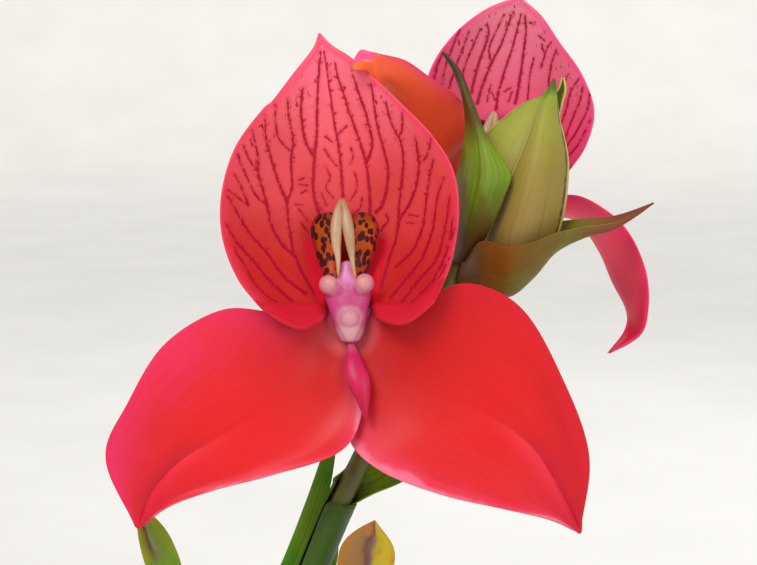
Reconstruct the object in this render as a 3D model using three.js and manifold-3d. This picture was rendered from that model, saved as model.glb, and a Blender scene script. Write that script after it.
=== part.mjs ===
// Potted red disa: an orchid with one open flower facing the front, a second flower behind it,
// a green bud in its bract, a leafy stem and a rosette of leaves in a plain clay pot.
// Millimetres, +Z up, origin at the centre of the pot's underside, front of the plant towards -Y.
import * as THREE from "three";
import { mergeVertices } from "three/addons/utils/BufferGeometryUtils.js";
import Module from "manifold-3d";

const wasm = await Module();
wasm.setup();

// Driving dimensions of the pot and its filling
const POT_HEIGHT = 95;
const POT_BASE_RADIUS = 43;
const POT_BODY_TOP_RADIUS = 57;
const POT_RIM_RADIUS = 61;
const POT_RIM_HEIGHT = 20;
const POT_WALL = 5;
const POT_FLOOR = 6;
const DRAIN_HOLES = 5;
const DRAIN_RADIUS = 1.8;
const DRAIN_CIRCLE = 24;
const MIX_TOP = 84;
const GAP = 0.3;

// Driving dimensions of the plant
const TUBER_BOTTOM = 40;
const TUBER_TOP = 60;
const TUBER_RADIUS = 8;
const STEM_BASE_RADIUS = 3;
const STEM_TOP_RADIUS = 2.3;
const PETAL_THICKNESS = 0.8;
const LEAF_THICKNESS = 0.8;
const BRACT_THICKNESS = 0.7;
const SHEATH_RADIUS = 3.2;
const SECOND_FLOWER_SCALE = 0.85;
const SECOND_FLOWER_LEAN = THREE.MathUtils.degToRad(12);

// The flowers are laid out in a frame of their own, tipped back to face the viewer:
// x to the right, y away from the viewer, z up, origin at the front flower's stigma.
const FLOWER_TILT = THREE.MathUtils.degToRad(-8);
const FLOWER_ORIGIN = new THREE.Vector3(32, -24, 238);

const root = new THREE.Group();
const inflorescence = new THREE.Group();
inflorescence.rotation.x = FLOWER_TILT;
inflorescence.position.copy(FLOWER_ORIGIN);
root.add(inflorescence);

function point([x, y, z]) {
  return new THREE.Vector3(x, y, z);
}

function curveThrough(points, closed = false) {
  return new THREE.CatmullRomCurve3(points.map(point), closed, "catmullrom", 0.5);
}

function addPart(parent, name, geometry, color, roughness) {
  const material = new THREE.MeshStandardMaterial({ color, roughness, metalness: 0 });
  const mesh = new THREE.Mesh(geometry, material);
  mesh.name = name;
  parent.add(mesh);
  return mesh;
}

// Closed geometry from vertices and triangles, turned so that its faces point outwards
function closedGeometry(vertices, triangles) {
  let volume = 0;
  for (const [a, b, c] of triangles) {
    volume += vertices[a].dot(vertices[b].clone().cross(vertices[c]));
  }
  const indices = [];
  for (const [a, b, c] of triangles) {
    indices.push(a, volume > 0 ? b : c, volume > 0 ? c : b);
  }
  const geometry = new THREE.BufferGeometry();
  const positions = vertices.flatMap((v) => [v.x, v.y, v.z]);
  geometry.setAttribute("position", new THREE.Float32BufferAttribute(positions, 3));
  geometry.setIndex(indices);
  return geometry;
}

// Gives an open surface its thickness: a front, a back and a wall along every free edge
function thicken(vertices, triangles, thickness) {
  const normals = vertices.map(() => new THREE.Vector3());
  const edges = new Map();
  for (const [a, b, c] of triangles) {
    const ab = vertices[b].clone().sub(vertices[a]);
    const ac = vertices[c].clone().sub(vertices[a]);
    const normal = ab.cross(ac);
    for (const i of [a, b, c]) {
      normals[i].add(normal);
    }
    for (const [p, q] of [[a, b], [b, c], [c, a]]) {
      edges.set(`${p},${q}`, [p, q]);
    }
  }
  const half = thickness / 2;
  const count = vertices.length;
  const front = vertices.map((v, i) => v.clone().addScaledVector(normals[i].normalize(), half));
  const back = vertices.map((v, i) => v.clone().addScaledVector(normals[i], -half));
  const faces = [];
  for (const [a, b, c] of triangles) {
    faces.push([a, b, c], [c + count, b + count, a + count]);
  }
  for (const [p, q] of edges.values()) {
    if (!edges.has(`${q},${p}`)) {
      faces.push([q, p, p + count], [q, p + count, q + count]);
    }
  }
  return closedGeometry([...front, ...back], faces);
}

// Thin sheet over a grid of points, rows along its length and columns across it
function gridSheet(grid, thickness) {
  const columns = grid[0].length;
  const triangles = [];
  for (let i = 0; i + 1 < grid.length; i += 1) {
    for (let j = 0; j + 1 < columns; j += 1) {
      const a = i * columns + j;
      const b = a + columns;
      triangles.push([a, a + 1, b + 1], [a, b + 1, b]);
    }
  }
  return thicken(grid.flat(), triangles, thickness);
}

// Row of points on the parabola through one edge, the middle and the other edge
function acrossRow([a, m, b], columns) {
  const across = b.clone().sub(a).multiplyScalar(0.5);
  const bulge = a.clone().add(b).multiplyScalar(0.5).sub(m);
  const row = [];
  for (let j = 0; j < columns; j += 1) {
    const t = (2 * j) / (columns - 1) - 1;
    row.push(m.clone().addScaledVector(across, t).addScaledVector(bulge, t * t));
  }
  return row;
}

// Sheet between two edges and a midrib, each row a parabola through its three points.
// A row of rails is [one edge, midrib, other edge], from the base to the tip.
function railSheet(rails, thickness, rows = 2 * rails.length - 1, columns = 7) {
  const [edge, midrib, otherEdge] = [0, 1, 2].map((k) => curveThrough(rails.map((row) => row[k])));
  const grid = [];
  for (let i = 0; i < rows; i += 1) {
    const s = i / (rows - 1);
    grid.push(acrossRow([edge.getPoint(s), midrib.getPoint(s), otherEdge.getPoint(s)], columns));
  }
  return gridSheet(grid, thickness);
}

// Solid with elliptical sections along a curve. The sections' first radius lies along `side`.
function loft(points, radii, side = [1, 0, 0], steps = 10, sides = 10) {
  const curve = curveThrough(points);
  const radiusCurve = curveThrough(radii.map(([r1, r2]) => [r1, r2, 0]));
  const vertices = [];
  const triangles = [];
  for (let i = 0; i <= steps; i += 1) {
    const s = i / steps;
    const centre = curve.getPoint(s);
    const radius = radiusCurve.getPoint(s);
    const tangent = curve.getTangent(s);
    const second = tangent.clone().cross(point(side)).normalize();
    const first = second.clone().cross(tangent);
    for (let j = 0; j < sides; j += 1) {
      const angle = (j / sides) * Math.PI * 2;
      const v = centre.clone().addScaledVector(first, radius.x * Math.cos(angle));
      vertices.push(v.addScaledVector(second, radius.y * Math.sin(angle)));
    }
  }
  for (let i = 0; i < steps; i += 1) {
    for (let j = 0; j < sides; j += 1) {
      const a = i * sides + j;
      const b = i * sides + ((j + 1) % sides);
      triangles.push([a, b, b + sides], [a, b + sides, a + sides]);
    }
  }
  const start = vertices.push(curve.getPoint(0)) - 1;
  const end = vertices.push(curve.getPoint(1)) - 1;
  const last = steps * sides;
  for (let j = 0; j < sides; j += 1) {
    const k = (j + 1) % sides;
    triangles.push([start, k, j], [end, last + j, last + k]);
  }
  return closedGeometry(vertices, triangles);
}

function solidOf(geometry) {
  const plain = geometry.clone();
  plain.deleteAttribute("normal");
  plain.deleteAttribute("uv");
  const merged = mergeVertices(plain, 1e-4);
  return new wasm.Manifold(new wasm.Mesh({
    numProp: 3,
    vertProperties: Float32Array.from(merged.getAttribute("position").array),
    triVerts: Uint32Array.from(merged.index.array),
  }));
}

function geometryOf(solid) {
  const { vertProperties, triVerts, numProp } = solid.getMesh();
  const positions = [];
  for (let i = 0; i < vertProperties.length; i += numProp) {
    positions.push(vertProperties[i], vertProperties[i + 1], vertProperties[i + 2]);
  }
  const geometry = new THREE.BufferGeometry();
  geometry.setAttribute("position", new THREE.Float32BufferAttribute(positions, 3));
  geometry.setIndex([...triVerts]);
  return geometry;
}

function union(...geometries) {
  const [first, ...rest] = geometries.map(solidOf);
  return geometryOf(rest.reduce((whole, piece) => whole.add(piece), first));
}

function ball(centre, radii) {
  const geometry = new THREE.SphereGeometry(1, 10, 7);
  geometry.scale(...radii);
  geometry.translate(...centre);
  return geometry;
}

function lathe(profile, segments) {
  const geometry = new THREE.LatheGeometry(profile.map(([r, z]) => new THREE.Vector2(r, z)), segments);
  geometry.rotateX(Math.PI / 2);
  return geometry;
}

// Pot: a tapered clay body with a thicker collar, small drain holes through its floor
function potGeometry() {
  const collar = POT_HEIGHT - POT_RIM_HEIGHT;
  const innerBase = POT_BASE_RADIUS - POT_WALL;
  const innerTop = POT_BODY_TOP_RADIUS - 1;
  const body = lathe([
    [0, 0],
    [POT_BASE_RADIUS - 1, 0],
    [POT_BASE_RADIUS, 1],
    [POT_BODY_TOP_RADIUS, collar],
    [POT_RIM_RADIUS - 1, collar],
    [POT_RIM_RADIUS - 0.5, collar + 1],
    [POT_RIM_RADIUS, POT_HEIGHT - 2],
    [POT_RIM_RADIUS - 2, POT_HEIGHT],
    [innerTop + 0.5, POT_HEIGHT],
    [innerTop, POT_HEIGHT - 1.5],
    [innerBase, POT_FLOOR],
    [0, POT_FLOOR],
  ], 40);
  let pot = solidOf(body);
  for (let i = 0; i < DRAIN_HOLES; i += 1) {
    const angle = (i / DRAIN_HOLES) * Math.PI * 2;
    const drill = new THREE.CylinderGeometry(DRAIN_RADIUS, DRAIN_RADIUS, POT_FLOOR * 3, 10);
    drill.rotateX(Math.PI / 2);
    drill.translate(DRAIN_CIRCLE * Math.cos(angle), DRAIN_CIRCLE * Math.sin(angle), 0);
    pot = pot.subtract(solidOf(drill));
  }
  return geometryOf(pot);
}

// Growing mix: fills the pot to below its rim, with a socket that the tuber and stem base fill
function mixGeometry() {
  const innerBase = POT_BASE_RADIUS - POT_WALL;
  const innerTop = POT_BODY_TOP_RADIUS - 1;
  const rise = (MIX_TOP - POT_FLOOR) / (POT_HEIGHT - 1.5 - POT_FLOOR);
  const topRadius = innerBase + (innerTop - innerBase) * rise - 0.6;
  return lathe([
    [0, POT_FLOOR + GAP],
    [innerBase - 0.8, POT_FLOOR + GAP],
    [topRadius, MIX_TOP],
    [topRadius * 0.62, MIX_TOP + 1.2],
    [STEM_BASE_RADIUS + 1.6, MIX_TOP + 2],
    [STEM_BASE_RADIUS + 0.5, MIX_TOP + 1],
    [STEM_BASE_RADIUS + 0.5, TUBER_TOP + 2],
    [TUBER_RADIUS + 0.5, TUBER_TOP - 4],
    [TUBER_RADIUS + 0.5, TUBER_BOTTOM + 4],
    [TUBER_RADIUS * 0.6, TUBER_BOTTOM - 0.4],
    [0, TUBER_BOTTOM - 0.6],
  ], 28);
}

function tuberGeometry() {
  return lathe([
    [0, TUBER_BOTTOM],
    [TUBER_RADIUS * 0.55, TUBER_BOTTOM + 0.8],
    [TUBER_RADIUS, TUBER_BOTTOM + 5],
    [TUBER_RADIUS, TUBER_TOP - 5],
    [STEM_BASE_RADIUS, TUBER_TOP],
    [0, TUBER_TOP],
  ], 16);
}

addPart(root, "clay_pot", potGeometry(), 0xb5623c, 0.85);
addPart(root, "growing_mix", mixGeometry(), 0x3a2a1e, 0.95);
addPart(root, "tuber", tuberGeometry(), 0xc8b48a, 0.8);

// Flowering stem: from the tuber up to the second flower's bract
const STEM_PATH = [
  [0, 0, TUBER_TOP + GAP],
  [0, 0, MIX_TOP],
  [3.5, -1, 115],
  [12, -4, 150],
  [24, -7.5, 181.5],
  [30.5, -5.5, 196.5],
  [36, -4, 207.5],
  [43, -2, 221],
  [49.5, -0.5, 234],
  [52.5, 0.5, 240.5],
  [56, 2, 248],
];
const stemCurve = curveThrough(STEM_PATH);

function stemRadiusAt(s) {
  return STEM_BASE_RADIUS + (STEM_TOP_RADIUS - STEM_BASE_RADIUS) * Math.min(1, s * 3);
}

function stemGeometry() {
  const radii = [];
  for (let i = 0; i <= 8; i += 1) {
    const r = stemRadiusAt(i / 8);
    radii.push([r, r]);
  }
  return loft(STEM_PATH, radii, [0, 1, 0], 22, 12);
}

addPart(root, "flower_stem", stemGeometry(), 0x5a5222, 0.6);

// Leaf blade along a spine. `facing` is the direction that its upper face looks in,
// `fold` is how far the edges stand up from the midrib as a share of the half width.
function blade({ spine, width, facing, fold = 0.25, baseWidth = 2.4, fullness = 1.4, rows = 10 }) {
  const curve = curveThrough(spine);
  const face = point(facing).normalize();
  const grid = [];
  for (let i = 0; i < rows; i += 1) {
    const s = i / (rows - 1);
    const centre = curve.getPoint(s);
    const side = curve.getTangent(s).cross(face).normalize();
    const up = side.clone().cross(curve.getTangent(s)).normalize();
    const swell = Math.sin(Math.PI * s ** fullness);
    const half = (baseWidth * (1 - s) + (width - baseWidth / 2) * swell + 0.5) / 2;
    const row = [];
    for (const t of [-1, -0.5, 0, 0.5, 1]) {
      const v = centre.clone().addScaledVector(side, half * t);
      row.push(v.addScaledVector(up, half * fold * Math.abs(t)));
    }
    grid.push(row);
  }
  return gridSheet(grid, LEAF_THICKNESS);
}

// Where the rosette leaves meet the stem, just above the growing mix
const STEM_FOOT = [0.2, -0.1, MIX_TOP + 4.5];

// Rosette leaves: [azimuth in degrees, length, width, rise of the base, rise of the tip]
const ROSETTE = [
  [12, 78, 17, 50, 5],
  [52, 92, 19, 62, -2],
  [92, 84, 18, 48, 0],
  [132, 74, 16, 66, 18],
  [172, 88, 19, 45, -8],
  [252, 80, 18, 40, -6],
  [332, 90, 17, 60, 4],
];

function rosetteLeaf([azimuth, length, width, startRise, endRise]) {
  const angle = THREE.MathUtils.degToRad(azimuth);
  const out = new THREE.Vector3(Math.cos(angle), Math.sin(angle), 0);
  const place = point(STEM_FOOT).addScaledVector(out, STEM_BASE_RADIUS + 0.7);
  const spine = [place.toArray()];
  const steps = 5;
  for (let i = 0; i < steps; i += 1) {
    const rise = THREE.MathUtils.degToRad(startRise + ((endRise - startRise) * (i + 0.5)) / steps);
    place.addScaledVector(out, (Math.cos(rise) * length) / steps);
    place.z += (Math.sin(rise) * length) / steps;
    spine.push(place.toArray());
  }
  return blade({ spine, width, facing: [-out.x * 0.5, -out.y * 0.5, 1], baseWidth: 1.6 });
}

ROSETTE.forEach((leaf, i) => {
  addPart(root, `rosette_leaf_${i + 1}`, rosetteLeaf(leaf), 0x4b7a14, 0.55);
});

// Two tall basal leaves whose tips reach up beside the flower
addPart(root, "tall_leaf_left", blade({
  spine: [[-3.2, -2.5, 92], [-5, -7, 110], [-4, -12.5, 145], [-6, -15.5, 175], [-9, -16, 187.5],
    [-13.5, -14.6, 197.5]],
  width: 7.6,
  facing: [0.1, -1, 0.3],
  baseWidth: 2.4,
  fullness: 2.8,
}), 0x8b9a30, 0.55);
addPart(root, "tall_leaf_withered", blade({
  spine: [[1.7, -3.9, 92], [8, -10, 110], [20, -16, 145], [33.8, -17.5, 179], [37.5, -15, 194]],
  width: 12.8,
  facing: [-0.2, -1, 0.3],
  baseWidth: 2.2,
  fullness: 2.3,
}), 0xc89a3a, 0.7);

// Stem leaf that rises behind the stem on its left side
addPart(root, "stem_leaf_left", blade({
  spine: [[4.1, 1, 130], [9.5, 2, 158], [19.2, -1.2, 181], [24.2, -0.6, 194], [27.6, 0.2, 206],
    [29.5, 1, 216]],
  width: 4.8,
  facing: [0.1, -1, 0.1],
  baseWidth: 3,
  fold: 0.1,
  fullness: 0.9,
}), 0x4f8a0c, 0.5);
addPart(root, "stem_leaf_right", blade({
  spine: [[13.3, -0.5, 146], [20, 2.6, 165], [26, 0.6, 178], [29.3, 0, 187]],
  width: 5,
  facing: [-0.1, -1, 0.1],
  baseWidth: 3,
  fold: 0.1,
}), 0x5a9212, 0.5);

// Sheathing leaf: a tube around the stem, its mouth cut slantwise, that opens into a blade
// on the right. Sheath rows are [place along the stem, first angle, last angle].
const SHEATH_ROWS = [
  [0.31, -165, 165],
  [0.35, -165, 165],
  [0.39, -165, 165],
  [0.425, -165, 165],
  [0.46, -165, 165],
  [0.475, -130, 160],
  [0.49, -95, 150],
  [0.505, -60, 140],
];
const SHEATH_BLADE = [
  [[37.5, -6.2, 197.6], [37.3, -2.8, 199.3], [34.5, 0.6, 204.5]],
  [[43.5, -4, 199.6], [42, -1, 202], [39.5, 1.5, 207.5]],
  [[50, -2, 203.5], [48.5, 0, 206], [46.5, 2, 210.5]],
  [[56, 0, 208.5], [55.5, 0.8, 210], [55, 1.6, 211.8]],
  [[59, 1.1, 212.1], [59, 1.3, 212.5], [59, 1.5, 212.9]],
];

function sheathLeafGeometry() {
  const columns = 15;
  const grid = SHEATH_ROWS.map(([s, from, to]) => {
    const along = stemCurve.getTangent(s);
    const outward = new THREE.Vector3(1, 0.35, 0);
    outward.addScaledVector(along, -outward.dot(along)).normalize();
    const side = along.clone().cross(outward).normalize();
    const row = [];
    for (let j = 0; j < columns; j += 1) {
      const angle = THREE.MathUtils.degToRad(from + ((to - from) * j) / (columns - 1));
      const v = stemCurve.getPoint(s).addScaledVector(outward, SHEATH_RADIUS * Math.cos(angle));
      row.push(v.addScaledVector(side, SHEATH_RADIUS * Math.sin(angle)));
    }
    return row;
  });
  grid.push(...SHEATH_BLADE.map((row) => acrossRow(row.map(point), columns)));
  return gridSheet(grid, 0.5);
}

addPart(root, "sheath_leaf", sheathLeafGeometry(), 0x4f6a3a, 0.6);

// Hood (dorsal sepal): a helmet open to the front, with a conical spur at its back.
// `rim` runs clockwise round its edge, `mouth` is the half width and height of the spur's mouth.
function hoodGeometry({ rim, centre, mouth, spur, thickness }) {
  const middle = point(centre);
  const tip = point(spur);
  const rings = [];
  const walls = [0.3, 0.55, 0.8, 1];
  const edges = rim.map(point);
  const steps = edges.map((edge, i) => edge.distanceTo(edges[(i + 1) % edges.length]));
  const perimeter = steps.reduce((sum, step) => sum + step, 0);
  let angle = Math.atan2(edges[0].z - middle.z, edges[0].x - middle.x);
  edges.forEach((edge, index) => {
    const lip = middle.clone();
    lip.x += mouth[0] * Math.cos(angle);
    lip.z += mouth[1] * Math.sin(angle);
    const spoke = [lip.clone().lerp(tip, 0.55), lip];
    for (const r of walls) {
      const wall = lip.clone().lerp(edge, r);
      wall.y = middle.y + (edge.y - middle.y) * r ** 1.8;
      spoke.push(wall);
    }
    rings.push(spoke);
    angle -= (Math.PI * 2 * steps[index]) / perimeter;
  });
  const length = walls.length + 2;
  const vertices = rings.flat();
  const pole = vertices.push(tip) - 1;
  const triangles = [];
  for (let i = 0; i < rings.length; i += 1) {
    const a = i * length;
    const b = ((i + 1) % rings.length) * length;
    triangles.push([pole, b, a]);
    for (let k = 0; k + 1 < length; k += 1) {
      triangles.push([a + k, b + k, b + k + 1], [a + k, b + k + 1, a + k + 1]);
    }
  }
  return thicken(vertices, triangles, thickness);
}

// Front flower
const FRONT_HOOD_RIM = [
  [-6, 2.5, 60.5], [-3.5, 2.5, 58], [0.5, 2.5, 55.5], [6.5, 1.5, 50], [12, 0, 44.5],
  [17.5, -2, 38.5], [21.5, -3.5, 31.5], [22.5, -4.5, 23], [21, -5, 13], [17.5, -5, 4.5],
  [11.5, -4, 0.5], [6.6, -0.5, 1.2], [5.8, 4.5, 2.4], [4.6, 8.8, 3.4], [0.4, 9.8, 4.1],
  [-3.8, 8.8, 3.2], [-5.3, 4.5, 2], [-6, -0.5, 0.6], [-10, -4, -0.5],
  [-17, -5, 3], [-22.5, -5, 9.5], [-26, -4.5, 18], [-26, -4, 27], [-23, -2, 36.5],
  [-17.5, 0, 44.5], [-12, 1.5, 52], [-7.5, 2.5, 57.5],
];
const FRONT_SEPAL_LEFT = [
  [[-2.6, 8, 1.2], [-1.8, 7.6, -1.5], [-0.8, 7.2, -3.4]],
  [[-8, 5, 2.2], [-5, 5, -6], [2, 4, -10.5]],
  [[-15, 0, 2.5], [-10, 3, -12.5], [2.5, 2, -19.5]],
  [[-26, -1.5, 3], [-19, 1, -18.5], [-2.5, 0.5, -26]],
  [[-37.5, -3, -4], [-28, 0, -24], [-16, -1, -31]],
  [[-45, -3, -16], [-35, 0.5, -28.5], [-27.5, -0.5, -34]],
  [[-50, 0, -27.5], [-40.5, 2, -34.5], [-37, 1, -37.5]],
  [[-44.5, 4, -42], [-44, 4, -42.5], [-43.5, 4, -42.5]],
];
const FRONT_SEPAL_RIGHT = [
  [[3.6, 8, 1.4], [2.4, 7.6, -1.5], [0.7, 8.2, -3.8]],
  [[9, 5.3, 3.4], [6.5, 5.5, -6], [0.5, 6, -12.5]],
  [[16, 1.5, 5.5], [13.5, 3.5, -11.5], [0.5, 3.5, -22.5]],
  [[25, -1, 8.5], [22, 1.5, -15.5], [7, 1, -30]],
  [[35.5, -3, 3.5], [31.5, 0.5, -20], [19, -0.5, -35]],
  [[43.5, -3, -10], [39.5, 1, -27], [32, 0, -38]],
  [[49.5, -1, -26.5], [44.5, 2, -35.5], [42, 1.5, -40.5]],
  [[48.5, 4, -43], [48.5, 4, -43.5], [48, 4, -43.5]],
];
addPart(inflorescence, "front_hood", hoodGeometry({
  rim: FRONT_HOOD_RIM,
  centre: [-0.5, 13, 17],
  mouth: [5, 6.5],
  spur: [-0.5, 28, 12],
  thickness: PETAL_THICKNESS,
}), 0xe0555f, 0.5);
addPart(inflorescence, "front_sepal_left", railSheet(FRONT_SEPAL_LEFT, PETAL_THICKNESS), 0xe0262b, 0.45);
addPart(inflorescence, "front_sepal_right", railSheet(FRONT_SEPAL_RIGHT, PETAL_THICKNESS), 0xd91f24, 0.45);

// The small central parts of a flower, laid out for the front flower at full size.
// `place` puts them at the receptacle of the flower that they belong to.
const RECEPTACLE = point([0.4, 7.6, 0.5]);
const PETAL = [
  [[-5.6, 6.4, 7.6], [-4.4, 6.7, 7.6], [-3.4, 7.1, 7.6]],
  [[-6.8, 8.3, 12], [-4.9, 9.2, 12], [-3, 8.3, 12]],
  [[-7.9, 8, 16.5], [-5.4, 9.4, 16.5], [-2.8, 8, 16.5]],
  [[-7.8, 7.3, 20.5], [-5.4, 8.3, 20.5], [-3, 7.3, 20.5]],
  [[-6.2, 6.8, 23.2], [-5.2, 7, 23.4], [-4.2, 6.8, 23.2]],
];
const LIP = [
  [[0, 4.3, -4.15], [0.5, 4, -4.15], [1.2, 4.3, -4.15]],
  [[-0.6, 2.2, -7.7], [1.1, 1.6, -7.7], [2.9, 2.2, -7.7]],
  [[-0.5, 1, -11], [1.9, 0.2, -11], [4.3, 1, -11]],
  [[1.4, 0.5, -14.5], [2.9, -0.3, -14.5], [4.5, 0.5, -14.5]],
  [[3.6, -0.3, -19.8], [3.7, -0.4, -19.8], [3.8, -0.3, -19.8]],
];

// Rails mirrored about the plane x = `about` and set back by `depth`
function mirrored(rails, about, depth) {
  return rails.map((row) => row.map(([x, y, z]) => [2 * about - x, y + depth, z]));
}

function columnGeometry() {
  const body = loft(
    [[0.4, 4.2, -3.6], [0.4, 4, 0], [0, 4.4, 5], [-0.3, 5, 9], [-0.3, 5.2, 13.2]],
    [[2.4, 1.4], [3.8, 2.4], [4.6, 2.7], [4.6, 2.2], [0.9, 0.8]],
  );
  const stigma = ball([0.4, 2.2, -0.7], [3, 1.6, 3.3]);
  const leftArm = ball([-4.1, 2.9, 8.5], [1.9, 1.9, 1.9]);
  const rightArm = ball([3.3, 2.9, 8.5], [1.9, 1.9, 1.9]);
  return union(body, stigma, leftArm, rightArm);
}

function antherGeometry() {
  const radii = [[0.35, 0.3], [1, 0.8], [1.35, 1.1], [1.2, 1], [0.5, 0.5]];
  const left = loft(
    [[-1.7, 2.2, 10.6], [-2.3, 2.3, 13.5], [-1.8, 3, 17.5], [-1.7, 4, 22], [-1.5, 5, 26]],
    radii, [1, 0, 0], 8, 8,
  );
  const right = loft(
    [[1.5, 2.2, 10.1], [1.3, 2.3, 13.5], [0, 3, 17.5], [-0.7, 4, 22], [-1.3, 5, 26]],
    radii, [1, 0, 0], 8, 8,
  );
  return union(left, right);
}

function addCentre(prefix, place) {
  const group = new THREE.Group();
  const contents = new THREE.Group();
  contents.position.copy(RECEPTACLE).negate();
  group.add(contents);
  place(group);
  inflorescence.add(group);
  addPart(contents, `${prefix}_petal_left`, railSheet(PETAL, 0.6, 7, 5), 0xc4661a, 0.5);
  const rightPetal = railSheet(mirrored(PETAL, -0.8, 0.5), 0.6, 7, 5);
  addPart(contents, `${prefix}_petal_right`, rightPetal, 0xc4661a, 0.5);
  addPart(contents, `${prefix}_lip`, railSheet(LIP, 0.6, 8, 5), 0xe0309a, 0.5);
  addPart(contents, `${prefix}_column`, columnGeometry(), 0xe89ac4, 0.45);
  addPart(contents, `${prefix}_anther`, antherGeometry(), 0xe8d0a0, 0.5);
}

addCentre("front", (group) => {
  group.position.copy(RECEPTACLE);
});

// Ovary of the front flower, from the stem to its receptacle, and the bract at its foot
addPart(inflorescence, "front_ovary", loft(
  [[8.4, 21.5, -14], [5.5, 18, -8], [2.2, 13, -2.5], [0.6, 9.8, 0], [0.4, 7.9, 0.5]],
  [[1.6, 1.6], [2.3, 2.3], [2.6, 2.6], [2.5, 2.5], [2.4, 2.4]],
), 0x7a6a20, 0.55);
addPart(inflorescence, "front_bract", railSheet([
  [[9.2, 26.8, -14], [8.2, 26.1, -14.2], [7.7, 25.1, -14.5]],
  [[10.5, 26, -6], [6, 27, -6], [2, 24, -5]],
  [[8.5, 23.5, 0], [5, 26, 0], [1, 23.5, 0.5]],
  [[3, 22.8, 6.5], [2.8, 22.9, 6.6], [2.6, 22.8, 6.5]],
], BRACT_THICKNESS, 8, 5), 0x6f8a1c, 0.55);

// Second flower, behind and to the right, turned to the left
const BACK_RECEPTACLE = point([30, 44, 26.5]);
const BACK_HOOD_RIM = [
  [38.5, 40, 74.5], [43.5, 41, 70.5], [48, 41, 64], [53, 40, 56.5], [55.5, 38, 48], [53.5, 37, 40],
  [49.5, 37, 34], [45, 38.5, 30.5], [39, 42, 28.8], [34.5, 46, 27.8], [30.6, 47.7, 26.5],
  [27.2, 47, 28.6], [23, 44, 32.5], [18.5, 40, 38], [16, 37.5, 47.5], [18.5, 38, 58], [24, 39.5, 66],
  [31, 40, 71.5],
];
const BACK_SEPAL_LEFT = [
  [[27.3, 45.4, 27], [27.1, 45.6, 25.8], [27.2, 45.8, 24.4]],
  [[24, 37, 35], [22, 38, 31], [20, 39, 28]],
  [[28, 24, 43.5], [19, 28, 35.5], [16.5, 31, 33]],
  [[23.5, 19, 49], [15.5, 21, 41.5], [12, 25, 39]],
  [[17.5, 13, 52.5], [13, 13.5, 47.5], [9, 18, 45.5]],
  [[12, 8, 55.5], [10, 7, 51], [6.5, 11, 49.5]],
  [[6.5, 4, 56.4], [6.3, 2.6, 53], [6.5, 4.6, 49.5]],
  [[4.5, 3, 56.8], [4.8, 1.4, 53.6], [5.4, 3.2, 52.3]],
  [[2.5, 1.6, 57], [2.8, -0.3, 53.6], [3.4, -0.2, 53.2]],
  [[1, 0, 54.5], [0.5, -1, 52.6], [1, -1, 52.2]],
];
const BACK_SEPAL_RIGHT = [
  [[32.8, 45.2, 25.8], [32.6, 45.6, 24.6], [32.7, 46, 23.4]],
  [[41, 40, 26.5], [41, 42.5, 24.5], [40.5, 45.5, 22.5]],
  [[50, 34, 28.5], [49, 40, 25.5], [49, 46, 24]],
  [[57, 30, 25], [55.5, 38, 22], [53.5, 45, 22]],
  [[62, 27, 19.5], [60, 34, 16.5], [57.5, 42, 15.5]],
  [[65.5, 26, 11], [63, 32, 9], [60, 40, 9]],
  [[66, 26, 2.5], [64, 29, 1.5], [62.5, 35, 2.5]],
  [[64.5, 28, -3], [63, 29.5, -3], [61.5, 31, -2]],
  [[58, 30, -7], [58, 30, -7], [57.5, 30, -7]],
];
addPart(inflorescence, "back_hood", hoodGeometry({
  rim: BACK_HOOD_RIM,
  centre: [34.5, 51, 43],
  mouth: [4.5, 5.5],
  spur: [34.5, 64, 38],
  thickness: PETAL_THICKNESS,
}), 0xd9607f, 0.5);
addPart(inflorescence, "back_sepal_left", railSheet(BACK_SEPAL_LEFT, PETAL_THICKNESS), 0xf06a3c, 0.45);
addPart(inflorescence, "back_sepal_right", railSheet(BACK_SEPAL_RIGHT, PETAL_THICKNESS), 0xd92a4c, 0.45);

addCentre("back", (group) => {
  group.position.copy(BACK_RECEPTACLE);
  group.rotation.y = SECOND_FLOWER_LEAN;
  group.scale.setScalar(SECOND_FLOWER_SCALE);
});

addPart(inflorescence, "back_ovary", loft(
  [[23.6, 27.35, 12.4], [23.8, 33, 14.4], [25, 42, 16], [28, 47.6, 19.2], [30, 45.6, 25.2]],
  [[1.9, 1.9], [2, 2], [2.2, 2.2], [2.2, 2.2], [2, 2]],
), 0x7a6a20, 0.55);
addPart(inflorescence, "back_bract", railSheet([
  [[23.5, 22, 14.5], [24.5, 20, 14], [26.5, 21, 14]],
  [[23, 20, 21.5], [25.5, 13, 20.5], [30, 12.5, 21.5]],
  [[23.5, 19, 29], [27, 11, 28], [33, 10.5, 29.5]],
  [[24, 18.5, 34.5], [28, 10.5, 34], [33, 11, 33.5]],
  [[25, 18, 40.5], [27.5, 12.5, 40.5], [29.5, 13.5, 40]],
  [[25, 18, 47], [25.5, 16, 47], [26.5, 17.5, 47]],
  [[22.5, 18, 52.5], [23.5, 17, 53], [24.5, 18, 52.5]],
  [[20, 18, 58], [20.5, 18, 58.5], [20.5, 18, 58]],
], BRACT_THICKNESS), 0x7e9a1e, 0.5);

// Bud: three sepals wrapped round each other about a leaning axis
const BUD_AXIS = [
  [37.5, 20, 16.5], [38, 20, 23.5], [39, 20, 31], [40, 20, 40], [42.5, 20.5, 47.5], [44.5, 21, 53],
];
const BUD_RADII = [3, 6, 6.7, 5.4, 2.2, 0.3];
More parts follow.
